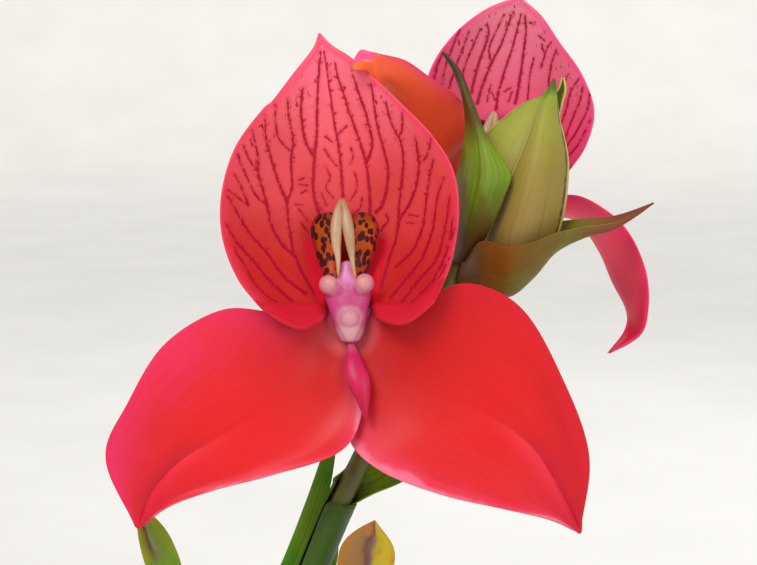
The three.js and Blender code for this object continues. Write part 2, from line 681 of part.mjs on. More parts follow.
// Each sepal covers a range of angles, lies over the one before by `offset`, leans to its own
// tip and may bulge on the left, as the hood of a flower bud does.
const BUD_SEPALS = [
  { name: "bud_sepal_front", from: -150, to: -5, offset: 2.4, tip: [0, -1.2, -0.5], bulge: 0 },
  { name: "bud_sepal_left", from: 110, to: 235, offset: 1.2, tip: [-0.6, 1.2, -0.6], bulge: 3 },
  { name: "bud_sepal_right", from: -30, to: 130, offset: 0, tip: [2.2, 0.4, 0.7], bulge: 0 },
];
const BULGE_ANGLE = THREE.MathUtils.degToRad(160);

function budSepalGeometry({ from, to, offset, tip, bulge }) {
  const axis = curveThrough(BUD_AXIS);
  const radii = curveThrough(BUD_RADII.map((r) => [r, 0, 0]));
  const grid = [];
  const rows = 11;
  const columns = 9;
  for (let i = 0; i < rows; i += 1) {
    const s = i / (rows - 1);
    const lift = offset * Math.min(1, 0.35 + 2 * (1 - s));
    const radius = Math.max(0.35, radii.getPoint(s).x) + lift;
    const shoulder = bulge * Math.sin(Math.PI * s ** 1.3) ** 2;
    const narrowing = 1 - 0.75 * s ** 8;
    const row = [];
    for (let j = 0; j < columns; j += 1) {
      const across = (j / (columns - 1) - 0.5) * narrowing;
      const angle = THREE.MathUtils.degToRad((from + to) / 2 + (to - from) * across);
      const reach = radius + shoulder * Math.max(0, Math.cos(angle - BULGE_ANGLE)) ** 6;
      const v = axis.getPoint(s).addScaledVector(point(tip), s ** 5);
      v.x += reach * Math.cos(angle);
      v.y += 0.9 * reach * Math.sin(angle);
      row.push(v);
    }
    grid.push(row);
  }
  return gridSheet(grid, 0.6);
}

for (const sepal of BUD_SEPALS) {
  addPart(inflorescence, sepal.name, budSepalGeometry(sepal), 0xb2b862, 0.55);
}
addPart(inflorescence, "bud_ovary", loft(
  [[26.7, 24.3, 12.4], [30, 23.5, 12.4], [34, 21.5, 12.8], [37, 20, 15.4]],
  [[1.6, 1.6], [2, 2], [2.2, 2.2], [2.2, 2.2]],
), 0x8a8a30, 0.55);
addPart(inflorescence, "bud_bract", railSheet([
  [[25.2, 21.3, 12.5], [24.4, 22.2, 8], [26.2, 24, 8.4]],
  [[27.5, 12, 15.5], [28.5, 18, 7], [29.5, 28.5, 13]],
  [[33, 9, 15.5], [34.5, 18, 5.5], [35, 31, 17]],
  [[38.5, 9, 17], [40, 18, 9], [40.5, 31, 19]],
  [[43.5, 11, 19], [45, 18, 14.5], [46, 28, 21]],
  [[49.5, 14.5, 21], [51, 18, 19], [51, 23.5, 22.5]],
  [[57.5, 17, 22.5], [58, 18, 21.5], [58, 20, 23.5]],
  [[65.5, 18, 26], [66, 18, 26], [66, 18.5, 26]],
], BRACT_THICKNESS), 0x7a6410, 0.5);

export default root;
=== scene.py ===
import math
import random

import bpy
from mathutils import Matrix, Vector, kdtree, noise

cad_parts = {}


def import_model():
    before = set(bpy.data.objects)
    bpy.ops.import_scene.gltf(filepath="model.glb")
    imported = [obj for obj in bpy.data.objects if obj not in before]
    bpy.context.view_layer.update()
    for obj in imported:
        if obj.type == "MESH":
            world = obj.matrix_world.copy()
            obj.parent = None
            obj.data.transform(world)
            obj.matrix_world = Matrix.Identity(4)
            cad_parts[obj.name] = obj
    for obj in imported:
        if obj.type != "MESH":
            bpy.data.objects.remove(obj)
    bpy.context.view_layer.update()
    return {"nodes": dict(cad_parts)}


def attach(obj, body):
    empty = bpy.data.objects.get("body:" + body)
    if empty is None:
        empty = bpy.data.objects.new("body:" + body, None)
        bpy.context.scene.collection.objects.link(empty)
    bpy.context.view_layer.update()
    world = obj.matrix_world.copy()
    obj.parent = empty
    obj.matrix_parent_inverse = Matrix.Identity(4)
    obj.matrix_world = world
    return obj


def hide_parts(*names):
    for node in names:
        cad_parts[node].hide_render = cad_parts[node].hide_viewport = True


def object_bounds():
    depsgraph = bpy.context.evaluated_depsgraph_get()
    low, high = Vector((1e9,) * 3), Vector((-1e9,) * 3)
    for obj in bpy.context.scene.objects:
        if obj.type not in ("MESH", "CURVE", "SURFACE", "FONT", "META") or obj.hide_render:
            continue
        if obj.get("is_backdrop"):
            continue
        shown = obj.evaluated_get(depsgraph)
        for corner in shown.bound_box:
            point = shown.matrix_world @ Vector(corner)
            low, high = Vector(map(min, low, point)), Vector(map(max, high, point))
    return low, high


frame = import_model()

# Potted red disa: a hooded red flower, a second flower and a bud behind it, a leafy stem and a
# rosette of leaves in a clay pot. Lengths are in millimetres until they reach a mesh.
MM = 0.001


# Modelling helpers
def smooth(x, low=0.0, high=1.0):
    """Eases from 0 at low to 1 at high. Low may be the larger one."""
    x = min(1.0, max(0.0, (x - low) / (high - low)))
    return x * x * (3 - 2 * x)


def world(p):
    return Vector(p)


# The flowers lie in a frame tipped 8 degrees back: x right, y away from the viewer, z up
TILT = math.radians(8)
FLOWER_ORIGIN = Vector((32, -24, 238))


def flower(p):
    x, y, z = p
    c, s = math.cos(TILT), math.sin(TILT)
    return FLOWER_ORIGIN + Vector((x, y * c + z * s, z * c - y * s))


RECEPTACLE = Vector((0.4, 7.6, 0.5))
SECOND_SCALE = 0.85
SECOND_LEAN = math.radians(12)
BACK_RECEPTACLE = Vector((30, 44, 26.5))


def second_flower(p):
    x, y, z = (Vector(p) - RECEPTACLE) * SECOND_SCALE
    c, s = math.cos(SECOND_LEAN), math.sin(SECOND_LEAN)
    return flower(BACK_RECEPTACLE + Vector((x * c + z * s, y, z * c - x * s)))


def along(points, t):
    """Point on a smooth curve through the points, t from 0 to 1."""
    last = len(points) - 1
    i = min(int(t * last), last - 1)
    f = t * last - i
    p1, p2 = points[i], points[i + 1]
    p0 = points[i - 1] if i else p1 * 2 - p2
    p3 = points[i + 2] if i + 2 <= last else p2 * 2 - p1
    a, b = (p2 - p0) * 0.5, (p3 - p1) * 0.5
    ff, fff = f * f, f * f * f
    return (p1 * (2 * fff - 3 * ff + 1) + a * (fff - 2 * ff + f)
            + p2 * (3 * ff - 2 * fff) + b * (fff - ff))


def evenly(points, count, fine=12):
    """The same curve as count + 1 points at equal distances."""
    line = [along(points, i / (fine * len(points))) for i in range(fine * len(points) + 1)]
    reach = [0.0]
    for a, b in zip(line, line[1:]):
        reach.append(reach[-1] + (b - a).length)
    result, k = [], 0
    for i in range(count + 1):
        want = reach[-1] * i / count
        while k < len(line) - 2 and reach[k + 1] < want:
            k += 1
        span = reach[k + 1] - reach[k] or 1
        result.append(line[k].lerp(line[k + 1], (want - reach[k]) / span))
    return result


def only(piece):
    bpy.ops.object.select_all(action="DESELECT")
    piece.select_set(True)
    bpy.context.view_layer.objects.active = piece


def change(piece, kind, **settings):
    only(piece)
    modifier = piece.modifiers.new(kind.title(), kind)
    for key, value in settings.items():
        setattr(modifier, key, value)
    bpy.ops.object.modifier_apply(modifier=modifier.name)


def weld(piece, distance=0.004, outward=True):
    only(piece)
    bpy.ops.object.mode_set(mode="EDIT")
    bpy.ops.mesh.select_all(action="SELECT")
    bpy.ops.mesh.remove_doubles(threshold=distance * MM)
    if outward:
        bpy.ops.mesh.normals_make_consistent(inside=False)
    bpy.ops.object.mode_set(mode="OBJECT")


def mark(piece, name, value):
    """Writes value(place in millimetres) to every vertex as a named attribute."""
    layer = piece.data.attributes.new(name, "FLOAT", "POINT")
    layer.data.foreach_set("value", [value(v.co / MM) for v in piece.data.vertices])


def lookup(points):
    found = kdtree.KDTree(len(points))
    for i, p in enumerate(points):
        found.insert(p, i)
    found.balance()
    return found


def near(points, inner, outer):
    """1 within inner of one of the points, 0 beyond outer."""
    found = lookup(points)
    return lambda p: 1 - smooth(found.find(p)[2], inner, outer)


def grid(place, columns, rows):
    """Grid laid over place(u, v) in millimetres, with the (u, v) of its vertices."""
    bpy.ops.object.select_all(action="DESELECT")
    bpy.ops.mesh.primitive_grid_add(x_subdivisions=columns, y_subdivisions=rows, size=2)
    piece = bpy.context.object
    spots = []
    for vertex in piece.data.vertices:
        u, v = (vertex.co.x + 1) / 2, (vertex.co.y + 1) / 2
        spots.append((u, v))
        vertex.co = place(u, v) * MM
    return piece, spots


def sheet(place, columns, rows, facing, thickness, thin=0.45, margin=0.16, marks=None):
    """Petal or leaf: a grid laid over place(u, v), thickened, and thinner towards its margin."""
    piece, spots = grid(place, columns, rows)
    group = piece.vertex_groups.new(name="thickness")
    for vertex, (u, v) in zip(piece.data.vertices, spots):
        inset = smooth(min(u, 1 - u) / margin) * smooth((1 - v) / 0.06)
        group.add([vertex.index], thin + (1 - thin) * inset, "REPLACE")
    for name, value in (marks or {}).items():
        layer = piece.data.attributes.new(name, "FLOAT", "POINT")
        layer.data.foreach_set("value", [value(u, v) for u, v in spots])
    total = sum((f.normal * f.area for f in piece.data.polygons), Vector())
    only(piece)
    if total.dot(Vector(facing)) < 0:
        bpy.ops.object.mode_set(mode="EDIT")
        bpy.ops.mesh.select_all(action="SELECT")
        bpy.ops.mesh.flip_normals()
        bpy.ops.object.mode_set(mode="OBJECT")
    change(piece, "SOLIDIFY", thickness=thickness * MM, offset=0, vertex_group="thickness",
           thickness_vertex_group=0)
    change(piece, "BEVEL", width=0.09 * MM, segments=2, limit_method="ANGLE",
           angle_limit=math.radians(60))
    return piece


def railed(rails, to_world=flower, ripple=None, power=2.0):
    """Place on a sheet between two edges and a midrib. A row of rails is [edge, midrib, edge]."""
    lines = [[Vector(row[k]) for row in rails] for k in range(3)]

    def place(u, v):
        a, m, b = (along(line, v) for line in lines)
        t = 2 * u - 1
        p = m + (b - a) * (0.5 * t) + ((a + b) * 0.5 - m) * (t * t + 0.02) ** (power / 2)
        if ripple:
            p = p + Vector(ripple(u, v))
        return to_world(p)
    return place


def loft(points, radii, columns=20, rows=40, side=(1, 0, 0), to_world=flower, ripple=None,
         rounding=0.05):
    """Solid of elliptical sections along a curve, rounded off at its ends."""
    line = [Vector(p) for p in points]
    widths = [Vector((a, b, 0)) for a, b in radii]

    def place(u, v):
        centre, width = along(line, v), along(widths, v)
        ahead, behind = along(line, min(1, v + 0.01)), along(line, max(0, v - 0.01))
        tangent = (ahead - behind).normalized()
        second = tangent.cross(Vector(side)).normalized()
        first = second.cross(tangent)
        end = min(1.0, min(v, 1 - v) / rounding)
        shrink = math.sqrt(max(0.0, 1 - (1 - end) ** 2))
        swell = 1 + (ripple(u, v) if ripple else 0)
        turn = 2 * math.pi * u
        p = centre + first * (width.x * shrink * swell * math.cos(turn))
        return to_world(p + second * (width.y * shrink * swell * math.sin(turn)))
    piece, _ = grid(place, columns, rows)
    weld(piece)
    return piece


def ball(centre, radius):
    bpy.ops.object.select_all(action="DESELECT")
    bpy.ops.mesh.primitive_uv_sphere_add(segments=24, ring_count=16, radius=radius * MM,
                                         location=centre * MM)
    bpy.ops.object.transform_apply(location=True, rotation=True, scale=True)
    return bpy.context.object


def joined(pieces):
    bpy.ops.object.select_all(action="DESELECT")
    for piece in pieces:
        piece.select_set(True)
    bpy.context.view_layer.objects.active = pieces[0]
    bpy.ops.object.join()
    return bpy.context.object


def grown_together(pieces, voxel=0.22, passes=4):
    whole = joined(pieces)
    change(whole, "REMESH", mode="VOXEL", voxel_size=voxel * MM, use_smooth_shade=True)
    change(whole, "SMOOTH", factor=0.5, iterations=passes)
    return whole


def keep(piece, name, nodes, material):
    only(piece)
    bpy.ops.object.shade_smooth_by_angle(angle=math.radians(50))
    piece.name = name
    piece.data.name = name
    piece.data.materials.clear()
    piece.data.materials.append(material)
    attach(piece, "root")
    if nodes:
        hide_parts(*nodes)
    return piece


# Material helpers
def colour(text):
    parts = [int(text[i:i + 2], 16) / 255 for i in (0, 2, 4)]
    return [c / 12.92 if c <= 0.04045 else ((c + 0.055) / 1.055) ** 2.4 for c in parts] + [1]


def node(kind, inputs=None, **settings):
    made = tree.nodes.new("ShaderNode" + kind)
    for key, value in settings.items():
        setattr(made, key, value)
    for key, value in (inputs or {}).items():
        if isinstance(value, bpy.types.NodeSocket):
            tree.links.new(value, made.inputs[key])
        else:
            made.inputs[key].default_value = value
    return made


def blend(factor, a, b, kind="MIX"):
    made = node("Mix", {0: factor}, data_type="RGBA", blend_type=kind)
    for index, value in ((6, a), (7, b)):
        if isinstance(value, bpy.types.NodeSocket):
            tree.links.new(value, made.inputs[index])
        else:
            made.inputs[index].default_value = colour(value)
    return made.outputs[2]


def maths(operation, a, b=0.0):
    return node("Math", {0: a, 1: b}, operation=operation).outputs[0]


def times(a, b):
    return maths("MULTIPLY", a, b)


def plus(a, b):
    return maths("ADD", a, b)


def minus(a, b):
    return maths("SUBTRACT", a, b)


def ramped(value, low, high, bottom=0.0, top=1.0):
    return node("MapRange", {"Value": value, "From Min": low, "From Max": high,
                             "To Min": bottom, "To Max": top},
                interpolation_type="SMOOTHSTEP").outputs[0]


def tones(value, *stops):
    """Colour ramp. A stop is a position with a colour code or a grey level."""
    made = node("ValToRGB", {0: value})
    elements = made.color_ramp.elements
    while len(elements) < len(stops):
        elements.new(0.5)
    for element, (position, shade) in zip(elements, stops):
        element.position = position
        element.color = colour(shade) if isinstance(shade, str) else (shade, shade, shade, 1)
    return made.outputs[0]


def attribute(name):
    return node("Attribute", attribute_name=name).outputs["Fac"]


def grain(vector, scale, detail=3.0, stretch=(1, 1, 1), rough=0.5):
    placed = node("Mapping", {"Vector": vector, "Scale": stretch}).outputs[0]
    return node("TexNoise", {"Vector": placed, "Scale": scale, "Detail": detail,
                             "Roughness": rough}).outputs["Fac"]


def start(name):
    """New material and the place on its piece. The helpers work on the one started last."""
    global tree, shader
    material = bpy.data.materials.new(name)
    material.use_nodes = True
    tree = material.node_tree
    shader = tree.nodes["Principled BSDF"]
    return material, node("TexCoord").outputs["Object"]


def settle(base, rough, height=None, strength=0.3, depth=0.1, **constants):
    tree.links.new(base, shader.inputs["Base Color"])
    if isinstance(rough, bpy.types.NodeSocket):
        tree.links.new(rough, shader.inputs["Roughness"])
    else:
        shader.inputs["Roughness"].default_value = rough
    if height is not None:
        bump = node("Bump", {"Height": height, "Strength": strength, "Distance": depth * MM})
        tree.links.new(bump.outputs[0], shader.inputs["Normal"])
    for key, value in constants.items():
        shader.inputs[key.replace("_", " ")].default_value = value


SOFT = {"Subsurface_Weight": 0.12, "Subsurface_Scale": 0.0015, "Specular_IOR_Level": 0.25}


def split():
    """Position across a sheet and along it, both from 0 to 1."""
    parts = node("SeparateXYZ", {0: node("TexCoord").outputs["UV"]}).outputs
    return parts[0], parts[1]


def fine_lines(count, length=0.05, low=0.4, high=0.66):
    """Uneven fine lines that run from the base of a sheet to its tip."""
    noisy = grain(node("TexCoord").outputs["UV"], count, 3, (1, length, 1), 0.6)
    return ramped(noisy, low, high)


def veined_material(name, tips, margin, rolled, throat, vein, halo):
    """Hood: tones along it, broken veins, smooth throat and rolled margin."""
    material, place = start(name)
    v = split()[1]
    soft = grain(place, 90, 2)
    base = tones(plus(v, times(minus(soft, 0.5), 0.3)), *tips)
    rim = attribute("rim")
    edge = ramped(plus(rim, times(soft, 1.2)), 2.3, 0.8, 0.0, 0.6)
    base = blend(edge, base, margin)
    base = blend(ramped(attribute("throat"), 2.5, 1.2, 0.0, 0.9), base, throat)
    cells = grain(place, 2600, 2)
    base = blend(ramped(cells, 0.35, 0.75, 0.0, 0.16), base, "FFFFFF", "SOFT_LIGHT")
    distance = attribute("vein")
    broken = minus(grain(place, 1100, 2), 0.5)
    wavering = plus(distance, times(broken, 0.65))
    base = blend(ramped(wavering, 0.65, 0.0, 0.0, 0.35), base, halo)
    line = ramped(wavering, 0.1, -0.06)
    gaps = ramped(plus(grain(place, 420, 1), times(rim, 0.06)), 0.4, 0.47)
    line = times(line, gaps)
    flecks = ramped(grain(place, 760, 2, (1.5, 1, 0.5)), 0.64, 0.68)
    band = times(ramped(rim, 0.7, 1.5), ramped(rim, 7.0, 3.0))
    band = times(band, ramped(v, 0.35, 0.55))
    line = maths("MAXIMUM", line, times(flecks, band))
    line = times(line, ramped(attribute("fold"), 0.5, 0.1))
    line = times(line, ramped(attribute("throat"), 1.4, 2.3))
    base = blend(times(line, 0.95), base, vein)
    base = blend(attribute("fold"), base, rolled)
    height = minus(times(cells, 0.3), line)
    settle(base, ramped(cells, 0.3, 0.8, 0.45, 0.55), height, 0.35, 0.09, **SOFT)
    return material


def petal_material(name, length, across, lines, fleck, roughness=0.42, lines_count=26, tint=None,
                   crease=None):
    """Smooth sepal: tones along it and across it, faint lines lengthwise. With a tint, also painted shade
    towards the flower's centre; with a crease, painted shadow and highlight beside it.
    """
    material, place = start(name)
    u, v = split()
    soft = grain(place, 60, 3)
    mottle = times(minus(soft, 0.5), 0.35)
    base = tones(plus(v, mottle), *length)
    side = tones(plus(u, mottle), *[(p, t) for p, t, _ in across])
    weight = tones(plus(u, mottle), *[(p, w) for p, _, w in across])
    base = blend(weight, base, side)
    wave = fine_lines(lines_count * 2, 0.04)
    base = blend(times(wave, 0.1), base, lines, "MULTIPLY")
    cells = grain(place, 2600, 2)
    base = blend(ramped(cells, 0.4, 0.8, 0.0, fleck), base, "FFFFFF", "SOFT_LIGHT")
    if tint:
        # Painted shade: darker towards the flower's centre, where the hood shades the sepals, and a little
        # darker all over
        shade_centre = flower((3, 5, 2)) * MM
        shade_distance = node("VectorMath", {0: place, 1: shade_centre}, operation="DISTANCE").outputs["Value"]
        base = blend(ramped(shade_distance, 0.012, 0.034, 0.55, 0.22), base, "A0000A")
        # For the lateral sepals this tint is the halo, a painted reflection of the pale stigma; for the
        # orange sepal it is the colour of its folded edge
        base = blend(times(attribute(tint[0]), tint[1]), base, tint[2])
    if crease:
        # Painted shadow on one side of the crease and painted highlight on the other
        shade = attribute(crease)
        base = blend(ramped(shade, 0.45, 0.05, 0.0, 0.55), base, "B01030")
        base = blend(ramped(shade, 0.55, 0.95, 0.0, 0.35), base, "EE3050")
    height = plus(times(wave, -0.2), times(cells, 0.5))
    settle(base, ramped(soft, 0.3, 0.7, roughness - 0.06, roughness + 0.06),
           height, 0.25, 0.08, **SOFT)
    return material


def leaf_material(name, length, rib, lines_count=30, blotch=None, roughness=0.45, bloom=None, bloom_mark=None,
                  bands=None, **more):
    """Leaf: tones and fine lines along it, and where asked blotches, a powdery bloom and bands."""
    material, place = start(name)
    u, v = split()
    soft = grain(place, 70, 4)
    drift = times(minus(soft, 0.5), 0.5)
    base = tones(plus(v, drift), *length)
    wave = fine_lines(lines_count * 2, 0.03)
    base = blend(times(wave, 0.45), base, rib)
    middle = ramped(maths("ABSOLUTE", minus(u, 0.5)), 0.045, 0.01)
    base = blend(times(middle, 0.35), base, rib)
    if blotch:
        marks = ramped(grain(place, blotch[1], 3, (1, 1, 0.5)), blotch[2], blotch[2] + 0.08)
        base = blend(times(marks, blotch[3]), base, blotch[0])
    if bloom:
        powder = ramped(grain(place, 160, 4, (1, 1, 0.4)), 0.3, 0.7, 0.3, bloom[1])
        if bloom_mark:
            powder = times(powder, attribute(bloom_mark))
        base = blend(powder, base, bloom[0])
    if bands:
        wander = times(minus(grain(place, 190, 4, (1, 1, 0.5)), 0.5), 0.5)
        across = plus(u, wander)
        strength = ramped(v, bands[0], bands[0] + 0.12, 0.0, 0.92)
        base = blend(strength, base, tones(across, *bands[1]))
        spots = ramped(grain(place, 260, 4), 0.56, 0.66)
        base = blend(times(times(spots, strength), 0.6), base, bands[2])
    fine = grain(place, 1500, 2)
    height = plus(wave, times(fine, 0.5))
    height = minus(height, times(middle, 2.0))
    settle(base, ramped(soft, 0.3, 0.7, roughness - 0.05, roughness + 0.08),
           height, 0.4, 0.1, Subsurface_Weight=0.1, Subsurface_Scale=0.0015, Specular_IOR_Level=0.3, **more)
    return material


# Hoods
SAMPLES = 200            # points along each side of a hood's outline
HOLLOW, WALL = 12, 40    # points down the hollow, points from its mouth out to the rim
FLANK = 41               # points down each side of the throat
STROKE = 0.12            # distance between the points of a vein
PASSES = 14              # times that the depth is evened out
LOBE_STEP = 1.3          # how far the folded lower lobes stand in front of the hood


def hood(rim, corners, centre, mouth, spur, veins, columns, rows, width, roll=None):
    """Helmet-shaped dorsal sepal. The rim runs clockwise from its tip, corners are the numbers of
    its lower right and lower left points. Veins are lines of (x, z) as seen from the front."""
    points = [Vector(p) for p in rim]
    right = evenly(list(reversed(points[:corners[0] + 1])), SAMPLES)
    left = evenly(points[corners[1]:] + points[:1], SAMPLES)
    below = evenly(list(reversed(points[corners[0]:corners[1] + 1])), SAMPLES)
    outline = list(reversed(right)) + list(reversed(below)) + left
    middle, tip = Vector(centre), Vector(spur)
    steps = [0.0]
    for a, b in zip(outline, outline[1:]):
        steps.append(steps[-1] + (b - a).length)
    first = math.atan2(points[0].z - middle.z, points[0].x - middle.x)
    shell = []
    for edge, gone in zip(outline, steps):
        angle = first - 2 * math.pi * gone / steps[-1]
        lip = middle + Vector((mouth[0] * math.cos(angle), 0, mouth[1] * math.sin(angle)))
        shell += [tip.lerp(lip, k / HOLLOW) for k in range(HOLLOW)]
        for k in range(WALL):
            out = k / (WALL - 1)
            p = lip.lerp(edge, out)
            p.y = middle.y + (edge.y - middle.y) * out ** 1.8
            shell.append(p)
    strokes, barbs = [], random.Random(5)

    def draw(line, thick, thin):
        reach = sum((b - a).length for a, b in zip(line, line[1:]))
        count = max(4, int(reach / STROKE))
        for i in range(count + 1):
            strokes.append((along(line, i / count), thick + (thin - thick) * i / count))

    for vein in veins:
        line = [Vector((x, z, 0)) for x, z in vein]
        long = len(line) > 4
        draw(line, width * 1.1 if long else width * 0.62, width * 0.5)
        for _ in range(2 * len(line) if long else 0):
            t = barbs.uniform(0.1, 0.97)
            lean = math.radians(barbs.choice((-1, 1)) * barbs.uniform(30, 60))
            spot = along(line, t)
            ahead = (along(line, t + 0.02) - along(line, t - 0.02)).normalized()
            way = Vector((ahead.x * math.cos(lean) - ahead.y * math.sin(lean),
                          ahead.x * math.sin(lean) + ahead.y * math.cos(lean), 0))
            draw([spot, spot + way * barbs.uniform(0.5, 0.95)], width * 0.45, width * 0.25)
    flanks = []
    for side in (-1, 1):
        line = [middle + Vector((side * x, 0, z)) for x, z in ((7.4, -0.5), (6.3, -5.5), (5, -10.8))]
        flanks += [along(line, k / (FLANK - 1)) for k in range(FLANK)]
    shape, edges, sides = (lookup([(p.x, p.z, 0) for p in line]) for line in (shell, outline, flanks))
    ink = lookup([p for p, _ in strokes])

    def pick(line, t):
        i = min(int(t), SAMPLES - 1)
        return line[i].lerp(line[i + 1], t - i)

    def seen_from_front(u, v):
        a, b, c = pick(left, v * SAMPLES), pick(right, v * SAMPLES), pick(below, u * SAMPLES)
        return a.lerp(b, u) + (c - left[0].lerp(right[0], u)) * (1 - v)

    level, measures = {}, {}
    for i in range(columns + 1):
        for j in range(rows + 1):
            p = seen_from_front(i / columns, j / rows)
            found = shape.find_n((p.x, p.z, 0), 6)
            weight = [1 / (d + 0.1) for _, _, d in found]
            y = sum(shell[n].y * w for (_, n, _), w in zip(found, weight)) / sum(weight)
            level[i, j] = p.y if j == 0 or i in (0, columns) else y
    for _ in range(PASSES):
        level = {(i, j): y if j in (0, rows) or i in (0, columns) else
                 (level[i - 1, j] + level[i + 1, j] + level[i, j - 1] + level[i, j + 1]) / 4
                 for (i, j), y in level.items()}

    def place(u, v):
        p = seen_from_front(u, v)
        y = level[round(u * columns), round(v * rows)]
        margin = edges.find((p.x, p.z, 0))[2]
        step = roll(p.x, p.z) if roll else 0
        y -= LOBE_STEP * step * (1 - 0.5 * smooth(margin, 1.6, 0))
        _, number, distance = ink.find((p.x, p.z, 0))
        throat = sides.find((p.x, p.z, 0))[2]
        measures[round(u, 5), round(v, 5)] = (distance - strokes[number][1], margin, step, throat)
        return flower(Vector((p.x, y, p.z)))

    def measured(number):
        return lambda u, v: measures[round(u, 5), round(v, 5)][number]

    marks = {name: measured(i) for i, name in enumerate(("vein", "rim", "fold", "throat"))}
    return sheet(place, columns, rows, (0, -1, 0), 0.8, 0.5, 0.06, marks)


FRONT_RIM = [
    (-6, 2.5, 60.5), (-3.5, 2.5, 58), (0.5, 2.5, 55.5), (6.5, 1.5, 50), (12, 0, 44.5),
    (17.5, -2, 38.5), (21.5, -3.5, 31.5), (22.5, -4.5, 23), (21, -5, 13), (17.5, -5, 4.5),
    (11.5, -4, 0.5), (6.6, -0.5, 1.2), (5.8, 4.5, 2), (4.6, 8.8, 2.7), (0.4, 9.8, 3.6),
    (-3.8, 8.8, 2.5), (-5.3, 4.5, 1.5), (-6, -0.5, 0.6), (-10, -4, -0.5), (-17, -5, 3),
    (-22.2, -5, 9.5), (-25.4, -4.5, 18), (-25.6, -4, 27), (-23, -2, 36.5), (-17.6, 0, 44.4),
    (-15.6, 0.5, 46.2), (-11.3, 1.5, 52), (-7.3, 2.5, 57.3)]
FRONT_VEINS = [
    [(-1.3, 27.2), (-1.6, 32.5), (-2, 36.6), (-2.5, 39.9), (-3.2, 44), (-3.7, 48), (-4.2, 52.3), (-4.9, 57)],
    [(-6.5, 23.4), (-7.7, 28.2), (-7.4, 35.3), (-6.9, 40.6), (-6.8, 46.3), (-6.5, 51.5), (-6, 57)],
    [(-7.5, 35.3), (-9.2, 38.5), (-10, 42.9), (-10.1, 46.1), (-9.7, 49.3)],
    [(4.5, 23.2), (4.5, 27.8), (3.7, 34.4), (1.8, 40.6), (0.1, 45.1), (-0.9, 48.5), (-2.1, 51.8),
     (-2.7, 54.8)],
    [(4, 34.4), (5.1, 38), (4.1, 43.3), (2.5, 48.1), (1.1, 52.1)],
    [(5.8, 23.6), (7.6, 26.1), (8.5, 32.2), (7.4, 37.5), (6.1, 42.4), (5.4, 47.5), (4.9, 50.3)],
    [(6.8, 7.4), (8.7, 13.5), (10.5, 19.4), (10.9, 25.6), (11.7, 33.7), (11.3, 37.7), (9.5, 41.4), (8, 46.2)],
    [(10.7, 38.9), (11.5, 41.2), (11.3, 44)],
    [(11, 22.1), (13.4, 26.1), (14.8, 31.1), (14.7, 35.9), (14.1, 39.1)],
    [(15, 33.5), (16.6, 35.2), (17.2, 38.4)],
    [(10.3, 12), (13.8, 15.5), (15.9, 20.8), (16.7, 27.4), (17.8, 34.1)],
    [(8.9, 5.2), (11.8, 8.7), (15.4, 13.4), (17.8, 19.5), (18.8, 26.4), (20, 30.4)],
    [(11.3, 4.4), (14.8, 8.9), (18.6, 13.7), (20.3, 20.2), (21.1, 26.6)],
    [(13.1, 4.4), (17.3, 8.5), (20.3, 14.9), (21.7, 21.8)],
    [(-6.4, 4.9), (-9.5, 9.7), (-11.6, 14.3), (-12.7, 19.8), (-13.2, 25.6), (-12.2, 28.9), (-12.3, 34.7),
     (-11.8, 38.7), (-12.6, 43.1), (-12.8, 47)],
    [(-13.3, 26), (-15, 30.1), (-16.3, 34.5), (-17.3, 38.8), (-17.3, 43.5)],
    [(-12.3, 36.3), (-14.7, 39), (-15.3, 42.5), (-15.2, 45.7)],
    [(-11.4, 13.9), (-14.3, 16.8), (-16.5, 20.9), (-17.6, 26.2), (-19, 31.5), (-19, 34.7), (-19.9, 40.2)],
    [(-19.2, 32.1), (-20.8, 34.4), (-21.6, 36.9)],
    [(-17.2, 24.8), (-19.5, 27), (-21.7, 31.7), (-22.8, 35.2)],
    [(-9.2, 6.2), (-13.5, 9.5), (-16.8, 14.2), (-20.3, 18.3), (-22.9, 22.7), (-24.9, 26.6)],
    [(-11.6, 4.4), (-16.5, 8.9), (-19.8, 13), (-23.2, 17), (-25.1, 21)],
    [(-13.9, 3.8), (-18.3, 7.1), (-21.2, 11.7), (-24.3, 17.4)],
    [(-14.4, 10.3), (-16.4, 13.4), (-18.8, 16.7)],
    [(-20.9, 24.7), (-22.6, 26), (-24.7, 27.7)],
    [(-21.1, 25.1), (-22.3, 28.4), (-23.5, 31.1)],
    [(-17.1, 6), (-19.7, 8.9), (-21.6, 12.5), (-23.1, 14.9)],
    [(19.3, 11.7), (20.7, 15.7), (21.9, 19.7)], [(16.5, 7.7), (19.2, 10.3), (20.8, 13.7)],
    [(-5.3, 37), (-3.7, 34.9), (-2, 32.9)], [(-5.2, 33.7), (-4.1, 31.2), (-5, 29.1), (-3.5, 26.8)],
    [(-5.1, 39.8), (-3.7, 38.7)], [(-2, 40.5), (-0.4, 42)], [(0.5, 37.4), (1, 35.7), (0.3, 34.1)],
    [(1.3, 32.2), (1.8, 29.1), (0.3, 26.2)], [(2.9, 27), (2.4, 24.7), (1.2, 23.7)],
    [(-10.8, 24.4), (-9, 22.1)], [(-11.4, 25.4), (-9.9, 25.2)], [(-10.8, 30.6), (-9.2, 31.1)],
    [(-10.7, 29.7), (-8.9, 29.4)], [(-10.2, 27.8), (-9.1, 28.4)], [(-10.4, 21.5), (-8.8, 19.4)],
    [(-6, 27.8), (-4.8, 25.3)], [(-7.1, 26.3), (-5.4, 23.8)], [(13, 23), (14.9, 22.7)],
    [(12.6, 21.4), (14.3, 21.2)], [(8.1, 23.2), (8.5, 21.9), (7.2, 20.5)], [(7, 19.8), (7.9, 20.9)]]
